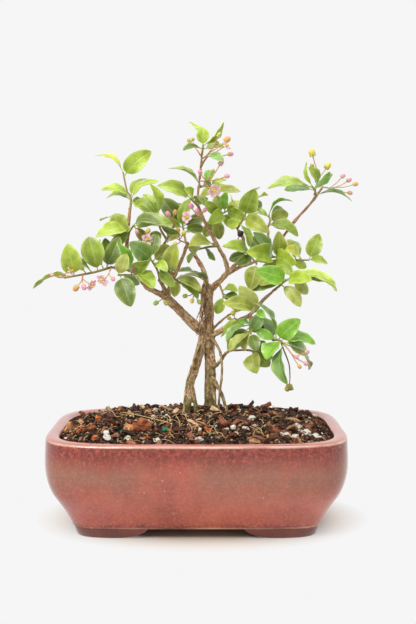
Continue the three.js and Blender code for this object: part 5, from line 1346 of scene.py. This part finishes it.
def make_spray(name, number, leaf_skin, stem_skin):
    draw = seeded_draw(number)
    shoot, rows = SPRAYS[name]
    points = [place(*spot) for spot in shoot]
    corners = search_tree([vertex.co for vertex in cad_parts[name].data.vertices])
    leaves = []
    for row in rows:
        habit = (0.16 + 0.3 * next(draw), 0.06 + 0.1 * next(draw), 0.06 + 0.1 * next(draw))
        leaf = solid_leaf(point_on_path(points, row[0]), row, habit, corners)
        if leaf is None:
            print("no such leaf:", name, row)
            continue
        tint = Vector(rgb(TONES[row[7]])[:3]) * (0.9 + 0.2 * leaf.fold)
        leaves.append((leaf, (*tint, 1)))
    stems = tinted(tubes(name + "_stem", [stem_path(points, 6, SHOOT_RADII)], 8), rgb("#8E7A45"))
    ribs = tinted(tubes(name + "_ribs", [rib_path(leaf) for leaf, _ in leaves], 6), rgb("#A9BC5E"))
    green = blades(name + "_blades", leaves)
    for piece, material in ((stems, stem_skin), (ribs, stem_skin), (green, leaf_skin)):
        paint(piece, material)
    made = joined(name.replace("leaf_spray", "leaves"), [green, ribs, stems])
    dress(smooth(made, 50), [name])


# Flowers
def blended(start, end, share):
    """A colour between two others."""
    return tuple(a + (b - a) * share for a, b in zip(start, end))


def bud_parts(centre, along, size, tint):
    """A round bud on a green base with small glands round it."""
    bm = bmesh.new()
    layer = bm.verts.layers.float_color.new("tint")
    ball = bmesh.ops.create_icosphere(bm, subdivisions=3, radius=0.5)["verts"]
    for vertex in ball:
        z = vertex.co.z + 0.5
        crease = 1 + 0.07 * math.cos(5 * math.atan2(vertex.co.y, vertex.co.x)) * z
        vertex[layer] = blended(rgb("#A8B65A"), tint, min(1, max(0, (z - 0.18) / 0.3)))
        vertex.co *= Vector((crease, crease, 1.15 + 0.2 * z))
    for gland in range(6):
        angle = math.tau * gland / 6
        bead = bmesh.ops.create_icosphere(bm, subdivisions=1, radius=0.16)["verts"]
        for vertex in bead:
            vertex[layer] = rgb("#C6BE62")
            vertex.co.z *= 1.4
            vertex.co += Vector((0.36 * math.cos(angle), 0.36 * math.sin(angle), -0.34))
    turn = Vector((0, 0, 1)).rotation_difference(along).to_matrix()
    bmesh.ops.rotate(bm, cent=(0, 0, 0), matrix=turn, verts=bm.verts)
    return object_from("bud", settle(bm, size, centre))


def bloom_parts(centre, along, size, tint, draw):
    """An open flower: five clawed, crimped petals round a green heart, with yellow stamens."""
    bm = bmesh.new()
    layer = bm.verts.layers.float_color.new("tint")
    start = Vector((0.3, 0.9, 0.2)).cross(along).normalized()
    length = size * 0.62
    for petal in range(5):
        outward = Quaternion(along, math.tau * petal / 5) @ start
        side = along.cross(outward)
        grid = bmesh.ops.create_grid(bm, x_segments=8, y_segments=8, size=1)["verts"]
        for vertex in grid:
            across = vertex.co.x
            share = (vertex.co.y + 1) / 2
            claw = 0.12 + 0.88 * min(1, max(0, (share - 0.22) / 0.3)) ** 0.8
            breadth = 0.44 * claw * math.sqrt(max(0.02, 1 - max(0, (share - 0.62) / 0.4) ** 2))
            crimp = 0.05 * math.sin(9 * across + 4 * petal) * share**2
            lift = 0.32 * math.sin(share * 2.2) + 0.16 * across**2 * share + crimp
            vertex[layer] = blended(tint, rgb("#F6C9D6"), min(1, share * 1.1))
            vertex.co = centre + (outward * (0.1 + share) + side * across * breadth + along * lift) * length
    petals = thickened(object_from("petals", bm), PETAL_THICKNESS)
    heart = bud_parts(centre, along, size * 0.36, rgb("#C7C860"))
    filaments = []
    for _ in range(9):
        lean = Vector([draw.uniform(-1, 1) for _ in range(3)]) * 0.55
        tip = centre + (along * 0.62 + lean * 0.5) * length
        filaments.append([(centre, 0.12 * MM), (tip, 0.12 * MM)])
        filaments.append([(tip, 0.2 * MM), (tip + along * 0.5 * MM, 0.3 * MM), (tip + along * MM, 0.15 * MM)])
    return [petals, heart, tinted(tubes("stamens", filaments, 4), rgb("#E3C544"))]


def dried_parts(centre, size, tint, draw):
    """A withered head: a crumpled ball of shrunken lumps."""
    bm = bmesh.new()
    layer = bm.verts.layers.float_color.new("tint")
    for _ in range(7):
        ball = bmesh.ops.create_icosphere(bm, subdivisions=2, radius=0.27)["verts"]
        shift = Vector((draw.uniform(-1, 1), draw.uniform(-1, 1), draw.uniform(-0.6, 1))) * 0.26
        shade = draw.uniform(0.6, 1.4)
        for vertex in ball:
            vertex.co *= 1 + 0.4 * noise.noise(vertex.co * 9 + shift * 30)
            vertex.co += shift
            vertex[layer] = (*[channel * shade for channel in tint[:3]], 1)
    return object_from("dried", settle(bm, size, centre))


def make_cluster(name, number, skin):
    draw = random.Random(number)
    stalk, heads = CLUSTERS[name]
    path = [place(*spot) for spot in stalk]
    stems = [stem_path(path, 5, STALK_RADII)]
    parts = []
    for i, (across, up, back, size, kind, tint) in enumerate(heads):
        centre = place(across, up, back)
        start = point_on_path(path, 1 - PEDICEL_STEP * i)
        along = (centre - start).normalized()
        sag = Vector((0, 0, -0.06 * (centre - start).length))
        bent = smooth_path([start, start.lerp(centre, 0.5) + sag, centre], 4)
        stems.append([(spot, PEDICEL_RADIUS * MM * (1 + 0.35 * (at > 1.6))) for spot, at in bent])
        colour = rgb(TINTS[tint])
        if kind == "bloom":
            parts += bloom_parts(centre, along, BLOOM_SCALE * size * MM, colour, draw)
        elif kind == "pod":
            parts.append(dried_parts(centre, size * MM, colour, draw))
        else:
            parts.append(bud_parts(centre, along, BUD_SCALE * size * MM, colour))
    dry = name.startswith("dried")
    parts.append(tinted(tubes("stems", stems, 6), rgb("#7C6A45" if dry else "#C08A5E")))
    made = joined(name.replace("flower_cluster", "flowers") + "_fine", parts)
    dress(smooth(made, 60), [name], skin)


# Stage, light and camera
BACKDROP = 0.92
SKY = 0.54
SHADE_REACH = (0.104, 0.078)
FLOOR_RADIUS = 9
FLOOR_COLOUR = (0.74, 0.67, 0.55, 1)


def make_stage():
    bm = bmesh.new()
    bmesh.ops.create_circle(bm, cap_ends=True, segments=96, radius=FLOOR_RADIUS)
    floor = object_from("floor", bm)
    material, tree, shader = new_material("pale_floor", 0.8, Specular_IOR_Level=0.1)
    shader.inputs["Base Color"].default_value = FLOOR_COLOUR
    near = place_on(tree, (1 / SHADE_REACH[0], 1 / SHADE_REACH[1], 0))
    away = add_node(tree, "ShaderNodeVectorMath", {"operation": "LENGTH"}, Vector=near).outputs["Value"]
    glow = add_node(tree, "ShaderNodeEmission", Strength=BACKDROP)
    blend = add_node(tree, "ShaderNodeMixShader", Fac=spread(tree, away, 0.74, 1.16))
    tree.links.new(shader.outputs["BSDF"], blend.inputs[1])
    tree.links.new(glow.outputs["Emission"], blend.inputs[2])
    tree.links.new(blend.outputs["Shader"], tree.nodes["Material Output"].inputs["Surface"])
    paint(floor, material)


def make_world():
    """Even white all round, dimmer as a light than as a backdrop."""
    world = bpy.data.worlds.new("studio")
    world.use_nodes = True
    tree = world.node_tree
    soft = add_node(tree, "ShaderNodeLightPath").outputs["Is Diffuse Ray"]
    tree.links.new(spread(tree, soft, 0, 1, BACKDROP, SKY), tree.nodes["Background"].inputs["Strength"])
    tree.nodes["Background"].inputs["Color"].default_value = (1, 1, 1, 1)
    bpy.context.scene.world = world


def add_light(name, spot, target, size, power):
    light = bpy.data.lights.new(name, "AREA")
    light.shape = "RECTANGLE"
    light.size, light.size_y = size
    light.energy = power
    made = bpy.data.objects.new(name, light)
    made.location = spot
    made.rotation_euler = (Vector(target) - Vector(spot)).to_track_quat("-Z", "Y").to_euler()
    bpy.context.scene.collection.objects.link(made)


def make_camera():
    camera = bpy.data.cameras.new("camera")
    camera.lens = CAMERA_LENS
    camera.sensor_width = SENSOR
    camera.clip_start = 0.01
    made = bpy.data.objects.new("camera", camera)
    made.location = EYE
    made.rotation_euler = (math.pi / 2 - CAMERA_DIP, 0, 0)
    bpy.context.scene.collection.objects.link(made)
    bpy.context.scene.camera = made


make_camera()
make_stage()
make_world()
add_light("key", (-0.5, -0.75, 0.9), (0, 0, 0.15), (0.6, 0.6), 10)
add_light("top", (0.15, -0.05, 1.1), (0, 0, 0.1), (0.8, 0.8), 7)
bpy.context.scene.view_settings.view_transform = "Standard"

make_pot()
make_soil_bed()
make_soil_crumbs()
make_seen_bits()
make_chips()
make_rootlets()
bark = bark_material()
make_wood(bark)
make_aerial_roots(bark)
leaf_skin = leaf_material()
stem_skin = tinted_material("young_stem", 0.55)
for number, name in enumerate(SPRAYS):
    make_spray(name, number, leaf_skin, stem_skin)
flower_skin = tinted_material("flower", 0.5, Subsurface_Weight=0.2, Subsurface_Scale=0.0008)
for number, name in enumerate(CLUSTERS):
    make_cluster(name, number, flower_skin)
mesh_plastic = crumb_material("mesh_plastic", 0.6, 500, 0.8)
for name in ("drainage_mesh_left", "drainage_mesh_right"):
    paint(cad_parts[name], mesh_plastic)
